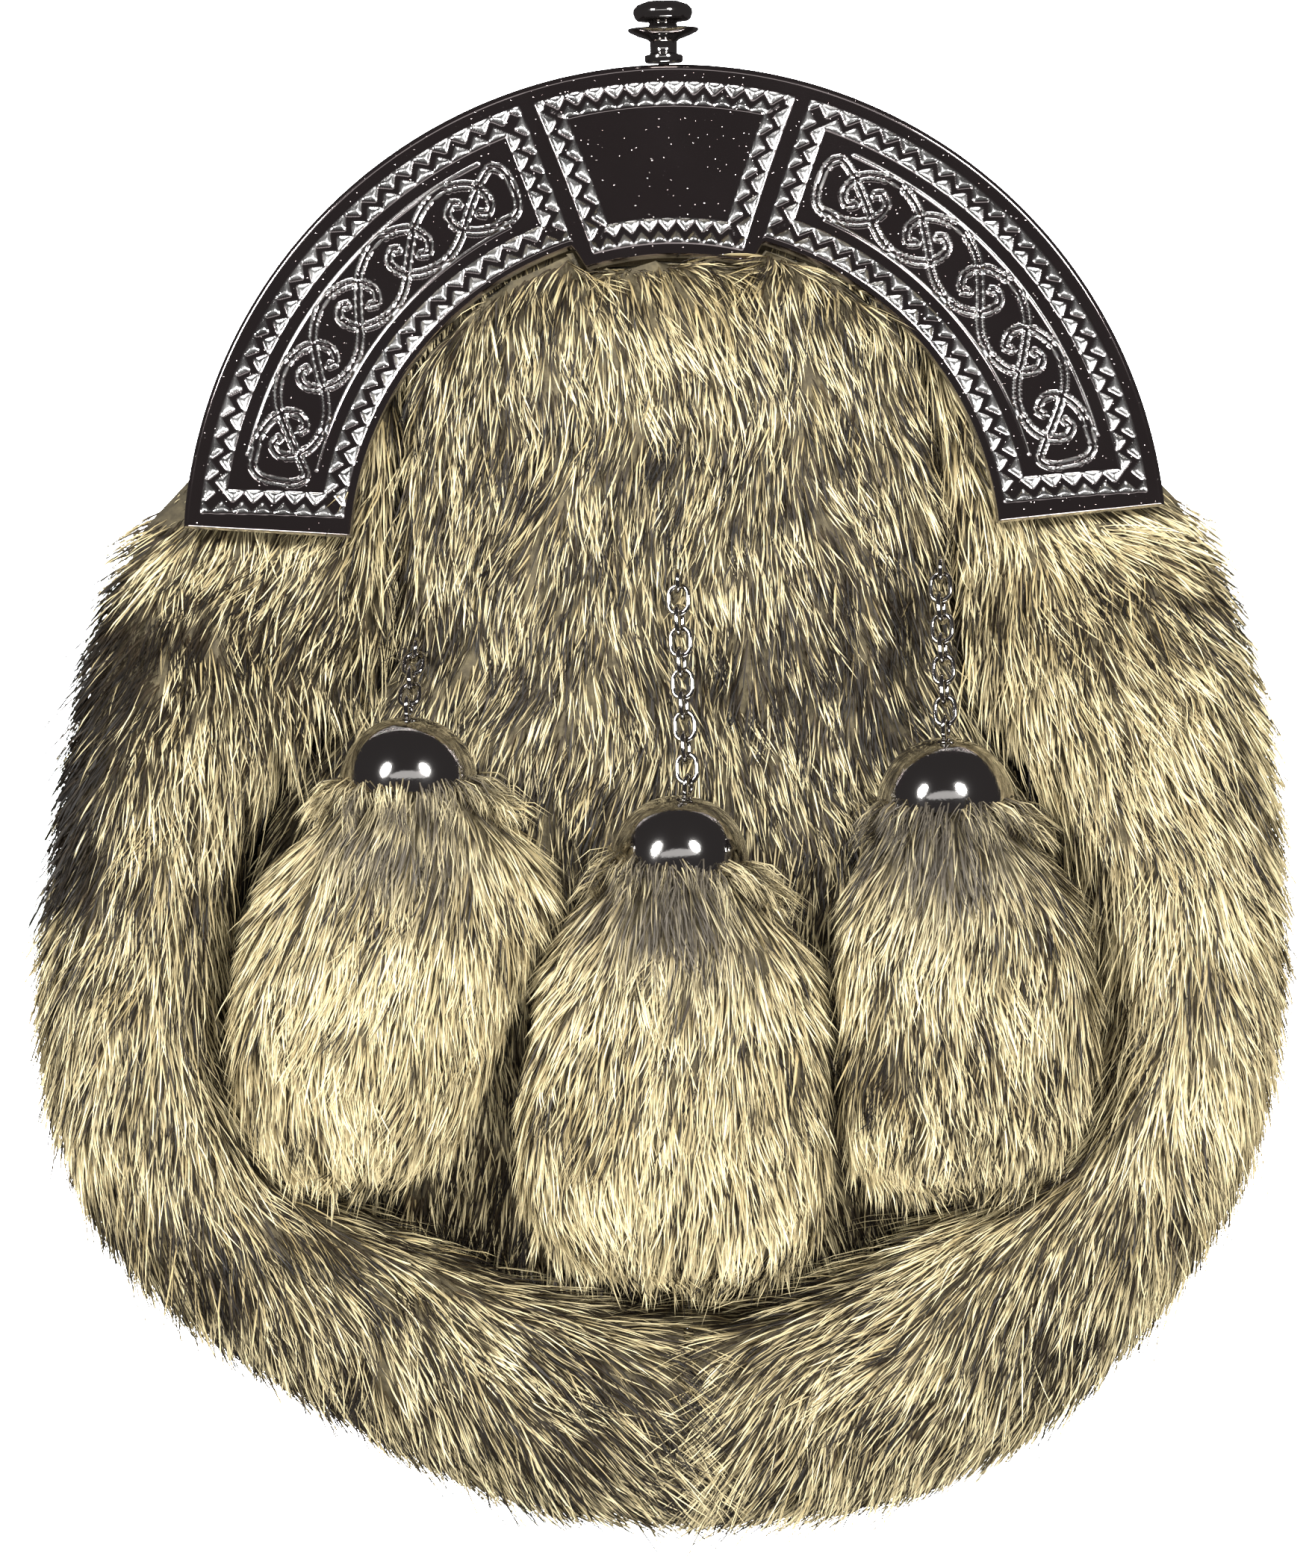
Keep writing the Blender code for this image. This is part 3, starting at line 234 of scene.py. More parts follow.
def relief_metal():
    """Cast nickel plate: polished on top, so that it mirrors the dim room, and pale and matt in the cuts.

    The ground of the cuts is as gritty as the mould, about 0.15 mm, and is drawn at 0.31 mm to show.
    Small casting pits lie about 1.1 mm apart, and the shine changes over about 11 mm.
    """
    material, shader = new_material("cast_relief_metal")
    cut = add_node(material, "ShaderNodeAttribute", attribute_name="cut").outputs["Fac"]
    place = add_node(material, "ShaderNodeTexCoord").outputs["Object"]
    grit = add_node(material, "ShaderNodeTexNoise", {"Vector": place, "Scale": cells(0.31), "Detail": 2.0})
    cloud = add_node(material, "ShaderNodeTexNoise", {"Vector": place, "Scale": cells(11.0), "Detail": 5.0})
    pits = add_node(material, "ShaderNodeTexVoronoi", {"Vector": place, "Scale": cells(1.1)})
    fleck = add_node(material, "ShaderNodeMapRange", {
        "Value": pits.outputs["Distance"], "From Min": 0.05, "From Max": 0.11, "To Min": 1.0, "To Max": 0.0})
    # The pale tone also falls on the narrow band along the arch's edges, where it is painted highlight.
    tone = add_node(material, "ShaderNodeMix", data_type="RGBA")
    fill(material, tone, {"Factor": cut, 6: rgba("ABA09F"), 7: rgba("C6C5C3")})
    rough = add_node(material, "ShaderNodeMapRange", {"Value": cut, "To Min": 0.1, "To Max": 0.52})
    uneven = add_node(material, "ShaderNodeMath", {
        0: rough.outputs["Result"], 1: cloud.outputs["Fac"], 2: 0.03}, operation="MULTIPLY_ADD")
    in_cuts = add_node(material, "ShaderNodeMath", {0: grit.outputs["Fac"], 1: cut}, operation="MULTIPLY")
    height = add_node(material, "ShaderNodeMath", {
        0: in_cuts.outputs["Value"], 1: fleck.outputs["Result"]}, operation="ADD")
    bump = add_node(material, "ShaderNodeBump", {
        "Height": height.outputs["Value"], "Strength": 0.6, "Distance": 0.06 * MM})
    fill(material, shader, {
        "Base Color": tone.outputs[2], "Metallic": 1.0,
        "Roughness": uneven.outputs["Value"], "Normal": bump.outputs["Normal"]})
    return material


def grained_leather(name, low, high):
    """Dyed and embossed cowhide: 0.9 mm pebbles, wrinkles about 2.4 mm apart and worn paler spots."""
    material, shader = new_material(name)
    place = add_node(material, "ShaderNodeTexCoord").outputs["Object"]
    pebble = add_node(material, "ShaderNodeTexVoronoi", {"Vector": place, "Scale": cells(0.9)})
    wrinkle = add_node(material, "ShaderNodeTexNoise", {"Vector": place, "Scale": cells(2.4), "Detail": 6.0})
    wear = add_node(material, "ShaderNodeTexNoise", {"Vector": place, "Scale": cells(22.0), "Detail": 4.0})
    tone = add_node(material, "ShaderNodeMix", data_type="RGBA")
    fill(material, tone, {"Factor": wear.outputs["Fac"], 6: rgba(low), 7: rgba(high)})
    height = add_node(material, "ShaderNodeMath", {
        0: pebble.outputs["Distance"], 1: wrinkle.outputs["Fac"]}, operation="ADD")
    bump = add_node(material, "ShaderNodeBump", {
        "Height": height.outputs["Value"], "Strength": 0.5, "Distance": 0.25 * MM})
    shine = add_node(material, "ShaderNodeMapRange", {
        "Value": wear.outputs["Fac"], "To Min": 0.38, "To Max": 0.62})
    fill(material, shader, {
        "Base Color": tone.outputs[2], "Roughness": shine.outputs["Result"],
        "Normal": bump.outputs["Normal"]})
    return material


def hair_material():
    """Rabbit hair: its colour comes from the strips, and its sheen is soft and changes from tuft to tuft."""
    material, shader = new_material("rabbit_hair")
    tint = add_node(material, "ShaderNodeAttribute", attribute_name="tint")
    place = add_node(material, "ShaderNodeTexCoord").outputs["Object"]
    cloud = add_node(material, "ShaderNodeTexNoise", {"Vector": place, "Scale": cells(3.8), "Detail": 2.0})
    shine = add_node(material, "ShaderNodeMapRange", {
        "Value": cloud.outputs["Fac"], "To Min": 0.42, "To Max": 0.68})
    fill(material, shader, {
        "Base Color": tint.outputs["Color"], "Roughness": shine.outputs["Result"],
        "Specular IOR Level": 0.3})
    return material


def underfur_material():
    """The dense undercoat between the hairs: matt, in tufts about 1.4 mm wide, dark and sandy."""
    material, shader = new_material("rabbit_underfur")
    place = add_node(material, "ShaderNodeTexCoord").outputs["Object"]
    tuft = add_node(material, "ShaderNodeTexNoise", {"Vector": place, "Scale": cells(1.4), "Detail": 5.0})
    patch = add_node(material, "ShaderNodeTexNoise", {"Vector": place, "Scale": cells(17.0), "Detail": 3.0})
    both = add_node(material, "ShaderNodeMath", {
        0: tuft.outputs["Fac"], 1: patch.outputs["Fac"]}, operation="MULTIPLY")
    tone = add_node(material, "ShaderNodeMix", data_type="RGBA")
    fill(material, tone, {"Factor": both.outputs["Value"], 6: rgba("221C15"), 7: rgba("9A8C68")})
    bump = add_node(material, "ShaderNodeBump", {
        "Height": tuft.outputs["Fac"], "Strength": 0.8, "Distance": 0.6 * MM})
    fill(material, shader, {
        "Base Color": tone.outputs[2], "Roughness": 0.85, "Normal": bump.outputs["Normal"]})
    return material


# Meshes


def dressed(name, mesh, material, smooth=True):
    """A piece from a mesh in the row frame, riding on the pouch."""
    mesh.materials.append(material)
    if smooth:
        mesh.shade_smooth()
    piece = bpy.data.objects.new(name, mesh)
    bpy.context.scene.collection.objects.link(piece)
    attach(piece, "root")
    return piece


def polar_point(angle, radius, z):
    turn = np.radians(angle)
    return np.stack([radius * np.sin(turn), radius * np.cos(turn), z], axis=-1)


def field_depths(field, teeth, angle, radius):
    """Depth of a frame's zigzag band, and how deep inside the field each point is."""
    share = (radius - field["inner"]) / (field["outer"] - field["inner"])
    near = field["near"][0] + (field["near"][1] - field["near"][0]) * share
    far = field["far"][0] + (field["far"][1] - field["far"][0]) * share
    length = np.radians(far - near) * radius
    sides = {
        "outer": field["outer"] - radius,
        "inner": radius - field["inner"],
        "near": np.radians(angle - near) * radius,
        "far": np.radians(far - angle) * radius,
    }
    inside = np.min(list(sides.values()), axis=0)
    height = field["outer"] - field["inner"]
    depth = np.zeros_like(radius)
    along = {
        "outer": sides["near"] / length * teeth["outer"],
        "inner": sides["near"] / length * teeth["inner"],
        "near": sides["outer"] / height * teeth["end"],
        "far": sides["outer"] / height * teeth["end"],
    }
    widths = {
        "outer": length / teeth["outer"], "inner": length / teeth["inner"],
        "near": height / teeth["end"], "far": height / teeth["end"],
    }
    for side, distance in sides.items():
        here = (distance <= inside + 1e-9) & (inside > 0) & (inside < BAND_WIDTH)
        wave = 4 * np.abs((along[side] % 1.0) - 0.5) - 1
        slope = 8 * CREST_SWING * BAND_WIDTH / widths[side]
        offset = distance - BAND_WIDTH * (0.5 + CREST_SWING * wave)
        to_crest = np.abs(offset) / np.sqrt(1 + slope ** 2) - CREST_HALF_WIDTH
        to_edge = np.minimum(distance, BAND_WIDTH - distance)
        cell = np.clip(np.minimum(to_crest * CREST_SLOPE, to_edge * RIM_SLOPE), 0, CELL_DEPTH)
        depth = np.where(here, cell, depth)
    return depth, inside


def smooth_route(points, steps=6):
    """A Catmull-Rom curve through the points."""
    points = np.array(points, float)
    ends = np.vstack([2 * points[0] - points[1], points, 2 * points[-1] - points[-2]])
    curve = []
    for index in range(len(points) - 1):
        a, b, c, d = ends[index:index + 4]
        for step in range(steps):
            t = step / steps
            curve.append(0.5 * (2 * b + (c - a) * t + (2 * a - 5 * b + 4 * c - d) * t ** 2
                                + (3 * b - a - 3 * c + d) * t ** 3))
    curve.append(points[-1])
    return np.array(curve)


def strand_routes():
    """The interlace's strands: three whole ones, and one at each end that turns back in a loop."""
    half = [(along, across) for _, along, across in HALF_STRAND]
    whole = half + [(-along, -across) for along, across in reversed(half[:-1])]
    routes = [[(along + knot, across) for along, across in whole] for knot in range(1, KNOT_COUNT - 1)]
    turn = [(0.16, 0.33), (0.31, 0.63), (0.48, 0.86), (0.60, 0.70), (0.655, 0.35), (0.655, -0.35)]
    turn += [(0.60, -0.72), (0.48, -0.92), (0.26, -0.92)]
    back = [(along + 1, across) for along, across in reversed(half[:7])]
    last = half + turn + back
    routes.append([(along + KNOT_COUNT - 1, across) for along, across in last])
    routes.append([(-along, -across) for along, across in last])
    return [smooth_route(route) for route in routes]


def distance_to_route(points, route):
    """Distance of each point to a polyline, in plan."""
    best = np.full(len(points), 1e9)
    for start, end in zip(route, route[1:]):
        span = end - start
        share = np.clip(((points - start) @ span) / max(span @ span, 1e-9), 0, 1)
        best = np.minimum(best, np.linalg.norm(points - start - share[:, None] * span, axis=1))
    return best


def knot_depths(angle, radius):
    """Grooves on both sides of every strand, and the thin outline round them all."""
    along = (angle - FIRST_KNOT) / KNOT_PITCH
    across = (KNOT_RADIUS - radius) / KNOT_HALF_WIDTH
    pitch = math.radians(KNOT_PITCH) * KNOT_RADIUS
    points = np.stack([along * pitch, across * KNOT_HALF_WIDTH], axis=-1)
    scale = np.array([pitch, KNOT_HALF_WIDTH])
    depth = np.zeros(len(points))
    core = np.zeros(len(points), bool)
    for route in strand_routes():
        distance = distance_to_route(points, route * scale)
        groove = np.minimum(distance - STRAND_CORE, STRAND_CORE + GROOVE_WIDTH - distance)
        cut = np.clip(groove * GROOVE_SLOPE, 0, GROOVE_DEPTH)
        depth = np.where(core, depth, np.maximum(depth, cut))
        crown = distance < STRAND_CORE * 0.8
        core |= crown
        depth = np.where(crown, 0, depth)
    level = np.abs(np.abs(across) - OUTLINE_ACROSS) * KNOT_HALF_WIDTH
    outline = np.clip((OUTLINE_WIDTH / 2 - level) * GROOVE_SLOPE, 0, GROOVE_DEPTH * 0.7)
    beside = (along > -0.4) & (along < KNOT_COUNT - 1 + 0.4)
    return np.maximum(depth, np.where(beside, outline, 0))


def plate_grid(columns, rows):
    """A flat unit sheet with walls round it and a closed base, as a mesh."""
    shape = bmesh.new()
    bmesh.ops.create_grid(shape, x_segments=columns, y_segments=rows, size=0.5)
    border = [edge for edge in shape.edges if edge.is_boundary]
    walls = bmesh.ops.extrude_edge_only(shape, edges=border)["geom"]
    low = [item for item in walls if isinstance(item, bmesh.types.BMVert)]
    bmesh.ops.translate(shape, vec=(0, 0, -1), verts=low)
    added = [item for item in walls if isinstance(item, bmesh.types.BMEdge)]
    base = [edge for edge in added if all(vert.co.z < -0.5 for vert in edge.verts)]
    bmesh.ops.contextual_create(shape, geom=base)
    bmesh.ops.recalc_face_normals(shape, faces=shape.faces)
    mesh = bpy.data.meshes.new("cast_cantle")
    shape.to_mesh(mesh)
    shape.free()
    return mesh


def make_cantle(material):
    """The arch as one fine plate, its relief cut down from the polished top."""
    mesh = plate_grid(GRID_COLUMNS, GRID_ROWS)
    points = np.empty(len(mesh.vertices) * 3)
    mesh.vertices.foreach_get("co", points)
    points = points.reshape(-1, 3)
    on_top = points[:, 2] > -0.5
    angle = END_ANGLE * points[:, 0] * 2
    step = np.clip((TAB_ROOT - np.abs(angle)) / (TAB_ROOT - TAB_TIP), 0, 1)
    inner = INNER_RADIUS + (TAB_RADIUS - INNER_RADIUS) * step * step * (3 - 2 * step)
    radius = inner + (OUTER_RADIUS - inner) * (points[:, 1] + 0.5)
    mirrored = np.abs(angle)
    depth, side_inside = field_depths(SIDE_FIELD, SIDE_TEETH, mirrored, radius)
    depth = np.maximum(depth, field_depths(CENTRE_FIELD, CENTRE_TEETH, angle, radius)[0])
    in_knots = side_inside > BAND_WIDTH + 0.3
    depth[in_knots] = np.maximum(depth[in_knots], knot_depths(mirrored[in_knots], radius[in_knots]))
    to_end = np.radians(END_ANGLE - mirrored) * radius
    edge = np.minimum(np.minimum(radius - inner, OUTER_RADIUS - radius), to_end)
    rounding = np.clip(EDGE_ROUND - edge, 0, EDGE_ROUND) ** 2 / EDGE_ROUND
    height = np.where(on_top, PLATE_TOP - depth - rounding, PLATE_BASE)
    mesh.vertices.foreach_set("co", to_row(polar_point(angle, radius, height)).ravel())
    piece = dressed("cast_cantle", mesh, material)
    mesh.set_sharp_from_angle(angle=math.radians(50))
    # The band along the arch's inner edge and ends is made rough and pale like the cuts: its roughness lets
    # it catch the lamps, and its paler tone is painted highlight along the edge.
    worn = np.clip(1.3 - np.minimum(radius - inner, to_end) / EDGE_HIGHLIGHT_WIDTH, 0, 0.9)
    cut = np.where(on_top, np.maximum(np.clip(depth / FULL_CUT, 0, 1), worn), 0)
    layer = mesh.attributes.new("cut", "FLOAT", "POINT")
    layer.data.foreach_set("value", cut.astype(np.float32))
    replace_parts(piece, "cantle")


def turned(profile, steps=64):
    """A closed turned shape about local Z, in mm, from (radius, height) pairs."""
    shape = bmesh.new()
    points = [shape.verts.new((radius, 0, height)) for radius, height in profile]
    line = [shape.edges.new(pair) for pair in zip(points, points[1:])]
    spun = {"geom": points + line, "cent": (0, 0, 0), "axis": (0, 0, 1)}
    bmesh.ops.spin(shape, **spun, angle=math.tau, steps=steps, use_merge=True)
    bmesh.ops.remove_doubles(shape, verts=shape.verts, dist=0.002)
    bmesh.ops.recalc_face_normals(shape, faces=shape.faces)
    return shape


def ring(radius, wire_radius, stretch=0.0, steps=36, sides=14):
    """A closed wire ring in the local XY plane, in mm, drawn out along X."""
    shape = bmesh.new()
    place = Matrix.Translation((radius, 0, 0)) @ Matrix.Rotation(math.pi / 2, 4, "X")
    bmesh.ops.create_circle(shape, segments=sides, radius=wire_radius, matrix=place)
    spun = {"geom": shape.verts[:] + shape.edges[:], "cent": (0, 0, 0), "axis": (0, 0, 1)}
    bmesh.ops.spin(shape, **spun, angle=math.tau, steps=steps, use_merge=True)
    for vert in shape.verts:
        along = vert.co.x / math.hypot(vert.co.x, vert.co.y)
        vert.co.x += stretch * max(-1.0, min(1.0, along * 4))
    bmesh.ops.recalc_face_normals(shape, faces=shape.faces)
    return shape


def axes_matrix(x, y, z, centre, scale=1.0):
    """The matrix that takes local X, Y and Z to these directions about the centre."""
    turn = Matrix((x, y, z)).transposed().to_4x4()
    return Matrix.Translation(centre) @ turn @ Matrix.Scale(scale, 4)


def metal_piece(name, shape, place, material):
    """A shape in mm put in its place in the row frame, as a polished piece."""
    bmesh.ops.transform(shape, matrix=place, verts=shape.verts)
    mesh = bpy.data.meshes.new(name)
    shape.to_mesh(mesh)
    shape.free()
    piece = dressed(name, mesh, material)
    mesh.set_sharp_from_angle(angle=math.radians(50))
    return piece


KNOB_PROFILE = (
    (0.0, 10.0), (2.6, 9.9), (4.1, 9.35), (4.75, 8.6), (4.8, 7.9), (4.5, 7.1), (4.1, 6.75), (2.5, 6.6),
    (2.2, 6.3), (2.4, 5.85), (4.4, 5.55), (5.6, 5.55), (5.75, 5.3), (5.5, 4.95), (4.2, 4.3), (2.6, 3.75),
    (2.2, 3.4), (2.15, 1.6), (2.4, 1.35), (3.0, 1.25), (3.1, 0.9), (3.1, 0.3), (2.9, 0.02), (0.9, 0.0),
    (0.9, -3.8), (0.0, -4.0),
)


def make_knob(material):
    place = Matrix.Translation((0, OUTER_RADIUS + 0.3, (PLATE_TOP + PLATE_BASE) / 2))
    place = ROW @ place @ Matrix.Rotation(-math.pi / 2, 4, "X")
    knob = metal_piece("turned_knob", turned(KNOB_PROFILE, 56), place, material)
    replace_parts(knob, "cantle_knob")


def cap_matrix(side):
    """The cap's frame in mm: local +Z to its crown, +X across, +Y to the floor."""
    row = TASSELS[side]
    lean = math.radians(row["lean"])
    up = Vector((math.sin(lean), math.cos(lean), 0))
    front = Vector((0, 0, 1))
    return axes_matrix(up.cross(front), -front, up, (*row["rim"], CAP_AXIS_Z))


def cap_profile():
    """A deep bell: a dome with a rolled rim, then its inside."""
    dome = []
    for step in range(16):
        turn = math.radians(86 * step / 15)
        dome.append((CAP_RADIUS * math.sin(turn) ** 0.92, CAP_HEIGHT * math.cos(turn) ** 0.94))
    rim = [(CAP_RADIUS, 0.45), (CAP_RADIUS, 0.12), (CAP_RADIUS - 0.3, 0.0), (CAP_RADIUS - CAP_WALL, 0.1)]
    inside = [(r * (1 - CAP_WALL / CAP_RADIUS), h * (1 - CAP_WALL / CAP_HEIGHT)) for r, h in dome[::-1]]
    return dome + rim + inside


def node_points(node):
    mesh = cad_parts[node].data
    points = np.empty(len(mesh.vertices) * 3)
    mesh.vertices.foreach_get("co", points)
    return points.reshape(-1, 3)


def main_axes(points):
    """The directions of a point cloud, from its longest to its shortest."""
    return np.linalg.svd(points - points.mean(0), full_matrices=False)[2]


def make_links(material):
    """Every link again as a smooth ring, where its solid lies."""
    for node in list(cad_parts):
        if not node.startswith("link_"):
            continue
        points = node_points(node)
        axes = main_axes(points)
        place = axes_matrix(axes[0], axes[1], np.cross(axes[0], axes[1]), points.mean(0), MM)
        shape = ring(LINK_WIDTH / 2 - LINK_WIRE, LINK_WIRE, (LINK_LENGTH - LINK_WIDTH) / 2, 28, 12)
        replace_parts(metal_piece(f"round_{node}", shape, place, material), node)


def make_caps(material):
    """The domed caps, each with the ring on its crown turned as in the solid."""
    up = np.array([0, 0, 1.0])
    for side in TASSELS:
        node = f"bell_cap_{side}"
        place = cap_matrix(side)
        cap = metal_piece(f"domed_{node}", turned(cap_profile(), 72), ROW @ place, material)
        local = (from_row(node_points(node)) - np.array(place.translation)) @ np.array(place.to_3x3())
        hole = main_axes(local[local[:, 2] > CAP_HEIGHT + 0.35])[2]
        hole = unit([hole * np.array([1, 1, 0])])[0]
        centre = up * (CAP_HEIGHT + EYE_RADIUS - EYE_WIRE / 2)
        on_crown = axes_matrix(up, np.cross(hole, up), hole, centre)
        eye = metal_piece(f"ring_{node}", ring(EYE_RADIUS, EYE_WIRE), ROW @ place @ on_crown, material)
        eye.parent = cap
        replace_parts(cap, node)


def make_eyes(material):
    """The eyes in the front that the chains hang from, each a ring on a stem."""
    up = np.array([0, 0, 1.0])
    for side in TASSELS:
        node = f"chain_eye_{side}"
        points = from_row(node_points(node))
        low, high = points.min(0), points.max(0)
        centre = np.array([points[:, 0].mean(), (low[1] + high[1]) / 2, high[2] - EYE_RADIUS - EYE_WIRE])
        upper = points[points[:, 2] > high[2] - 2 * (EYE_RADIUS + EYE_WIRE)]
        along = main_axes(upper * np.array([1, 1, 0]))[0]
        place = ROW @ axes_matrix(up, along, np.cross(up, along), centre)
        eye = metal_piece(f"ring_{node}", ring(EYE_RADIUS, EYE_WIRE), place, material)
        foot = Matrix.Translation((centre[0], centre[1], low[2]))
        height = centre[2] - EYE_RADIUS - low[2]
        stem = turned([(0.0, 0.0), (0.7, 0.05), (0.7, height), (0.0, height)], 24)
        metal_piece(f"stem_{node}", stem, ROW @ foot, material).parent = eye
        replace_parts(eye, node)


# Fur


def waves(points, size, seed, count=10):
    """A smooth random field, about -1 to 1, whose patches are about this many mm across."""
    source = np.random.default_rng(seed)
    total = np.zeros(len(points))
    for _ in range(count):
        way = source.normal(size=3)
        way *= math.tau / size / np.linalg.norm(way) * source.uniform(0.6, 1.6)
        total += np.sin(points @ way + source.uniform(0, math.tau))
    return total / math.sqrt(count / 2) / 1.6


def surface_of(node, rounds=3):
    """A fur solid's surface with its locks smoothed away, as points in mm and triangles."""
    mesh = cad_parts[node].data
    mesh.calc_loop_triangles()
    points = from_row(node_points(node))
    triangles = np.empty(len(mesh.loop_triangles) * 3, dtype=np.int64)
    mesh.loop_triangles.foreach_get("vertices", triangles)
    triangles = triangles.reshape(-1, 3)
    _, first, same = np.unique(np.round(points, 3), axis=0, return_index=True, return_inverse=True)
    points = points[first]
    triangles = same.reshape(-1)[triangles]
    edges = np.vstack([triangles[:, [0, 1]], triangles[:, [1, 2]], triangles[:, [2, 0]]])
    edges = np.unique(np.sort(edges, axis=1), axis=0)
    free = ~sharp_points(points, triangles)[:, None]
    for share in (0.5, -0.52) * rounds:
        total = np.zeros_like(points)
        count = np.zeros(len(points))
        for a, b in ((0, 1), (1, 0)):
            np.add.at(total, edges[:, a], points[edges[:, b]])
            np.add.at(count, edges[:, a], 1)
        points = points + (total / count[:, None] - points) * share * free
    return points, triangles


def sharp_points(points, triangles):
    """True at points on a sharp edge, such as the rim of a seam, which smoothing would pull back."""
    _, normals, _ = triangle_frames(points, triangles)
    pairs = {}
    sharp = np.zeros(len(points), bool)
    for index, triangle in enumerate(triangles):
        for i in range(3):
            edge = tuple(sorted((int(triangle[i]), int(triangle[(i + 1) % 3]))))
            other = pairs.setdefault(edge, index)
            if other != index and normals[other] @ normals[index] < 0.3:
                sharp[list(edge)] = True
    return sharp


def triangle_frames(points, triangles):
    """Every triangle's corners, normal and area."""
    a, b, c = (points[triangles[:, i]] for i in range(3))
    cross = np.cross(b - a, c - a)
    area = np.linalg.norm(cross, axis=1)
    return (a, b, c), cross / np.maximum(area, 1e-9)[:, None], area / 2


def vertex_normals(points, triangles):
    """Normals at the points, weighed by the areas of the triangles round them."""
    _, normals, area = triangle_frames(points, triangles)
    total = np.zeros_like(points)
    for corner in range(3):
        np.add.at(total, triangles[:, corner], normals * area[:, None])
    return total / np.maximum(np.linalg.norm(total, axis=1), 1e-9)[:, None]


def faces_outside(centres, normals, tree, reach=55.0):
    """True where nothing of the pouch lies in front of the face."""
    clear = np.ones(len(centres), bool)
    for index, (centre, normal) in enumerate(zip(centres, normals)):
        hit = tree.ray_cast(Vector(centre + normal * 1.5), Vector(normal), reach)
        clear[index] = hit[0] is None
    return clear


def shell_tree():
    """The four big pieces as one search tree, in mm about the arch's middle."""
    points, faces = [], []
    for node in ("gusset_left", "gusset_right", "front_panel", "back_panel"):
        own, triangles = surface_of(node, 0)
        faces += [tuple(int(i) + len(points) for i in t) for t in triangles]
        points += [Vector(p) for p in own]
    return BVHTree.FromPolygons(points, faces)


def roll_flow(points):
    """Round the pouch towards the bottom seam, and a little outwards."""
    offset = points - np.array([POUCH_MIDDLE[0], POUCH_MIDDLE[1], 0.0])
    out = offset * np.array([1, 1, 0])
    out /= np.maximum(np.linalg.norm(out, axis=1), 1e-6)[:, None]
    way = np.stack([-out[:, 1], out[:, 0], np.zeros(len(out))], axis=1)
    way *= np.where(points[:, 0] < 0.7, 1.0, -1.0)[:, None]
    low = np.clip((-out[:, 1] - 0.2) / 0.8, 0, 1)[:, None]
    down = np.array([0.0, -1.0, 0.0])
    high = np.clip((points[:, 1] + 50) / 50, 0, 1)[:, None]
    flow = way * (0.8 + 0.2 * low) + out * (0.25 + 0.1 * low - 0.2 * high)
    flow += down * (0.45 + 0.25 * low + 0.75 * high)
    flow[:, 2] -= 0.15
    return flow


def front_flow(points):
    """Down the front, fanning out a little to both sides."""
    flow = np.zeros_like(points)
    flow[:, 0] = points[:, 0] * 0.004 + waves(points, 45, 5) * 0.16
    flow[:, 1] = -1.0
    return flow


def tassel_flow(side):
    """Out of the cap and round the tassel's belly, then together at the tip."""
    row = TASSELS[side]
    rim, tip = np.array([*row["rim"], CAP_AXIS_Z]), np.array([*row["tip"], CAP_AXIS_Z - 6])
    axis = (tip - rim) / np.linalg.norm(tip - rim)

    def flow(points):
        offset = points - rim
        share = np.clip(offset @ axis / np.linalg.norm(tip - rim), 0, 1)
        spread = offset - (offset @ axis)[:, None] * axis
        return axis + spread * (0.05 * (1 - share) ** 3 - 0.004 * share)[:, None]

    return flow


def cap_flow(side):
    """Up over the cap's rim, and a little out from its middle."""
    up = np.array(cap_matrix(side).to_3x3())[:, 2]
    rim = np.array(TASSELS[side]["rim"])

    def flow(points):
        return np.tile(up, (len(points), 1)) + 0.05 * unit(points - np.array([*rim, CAP_AXIS_Z]))

    return flow


def unit(vectors):
    return vectors / np.maximum(np.linalg.norm(vectors, axis=1), 1e-9)[:, None]


def nearest_clump(roots, clumps):
    """Which tuft each root belongs to, looked up for a block of roots at a time."""
    owner = np.empty(len(roots), dtype=np.int64)
    for start in range(0, len(roots), 2000):
        block = roots[start:start + 2000]
        far = ((block[:, None, :] - clumps[None, :, :]) ** 2).sum(-1)
        owner[start:start + 2000] = far.argmin(1)
    return owner


BLEND_COLOURS = {name: np.array(linear(code)) for name, code in (
    ("cream", CREAM), ("sand", SAND), ("taupe", TAUPE), ("umber", UMBER), ("soot", SOOT), ("ash", ASH))}


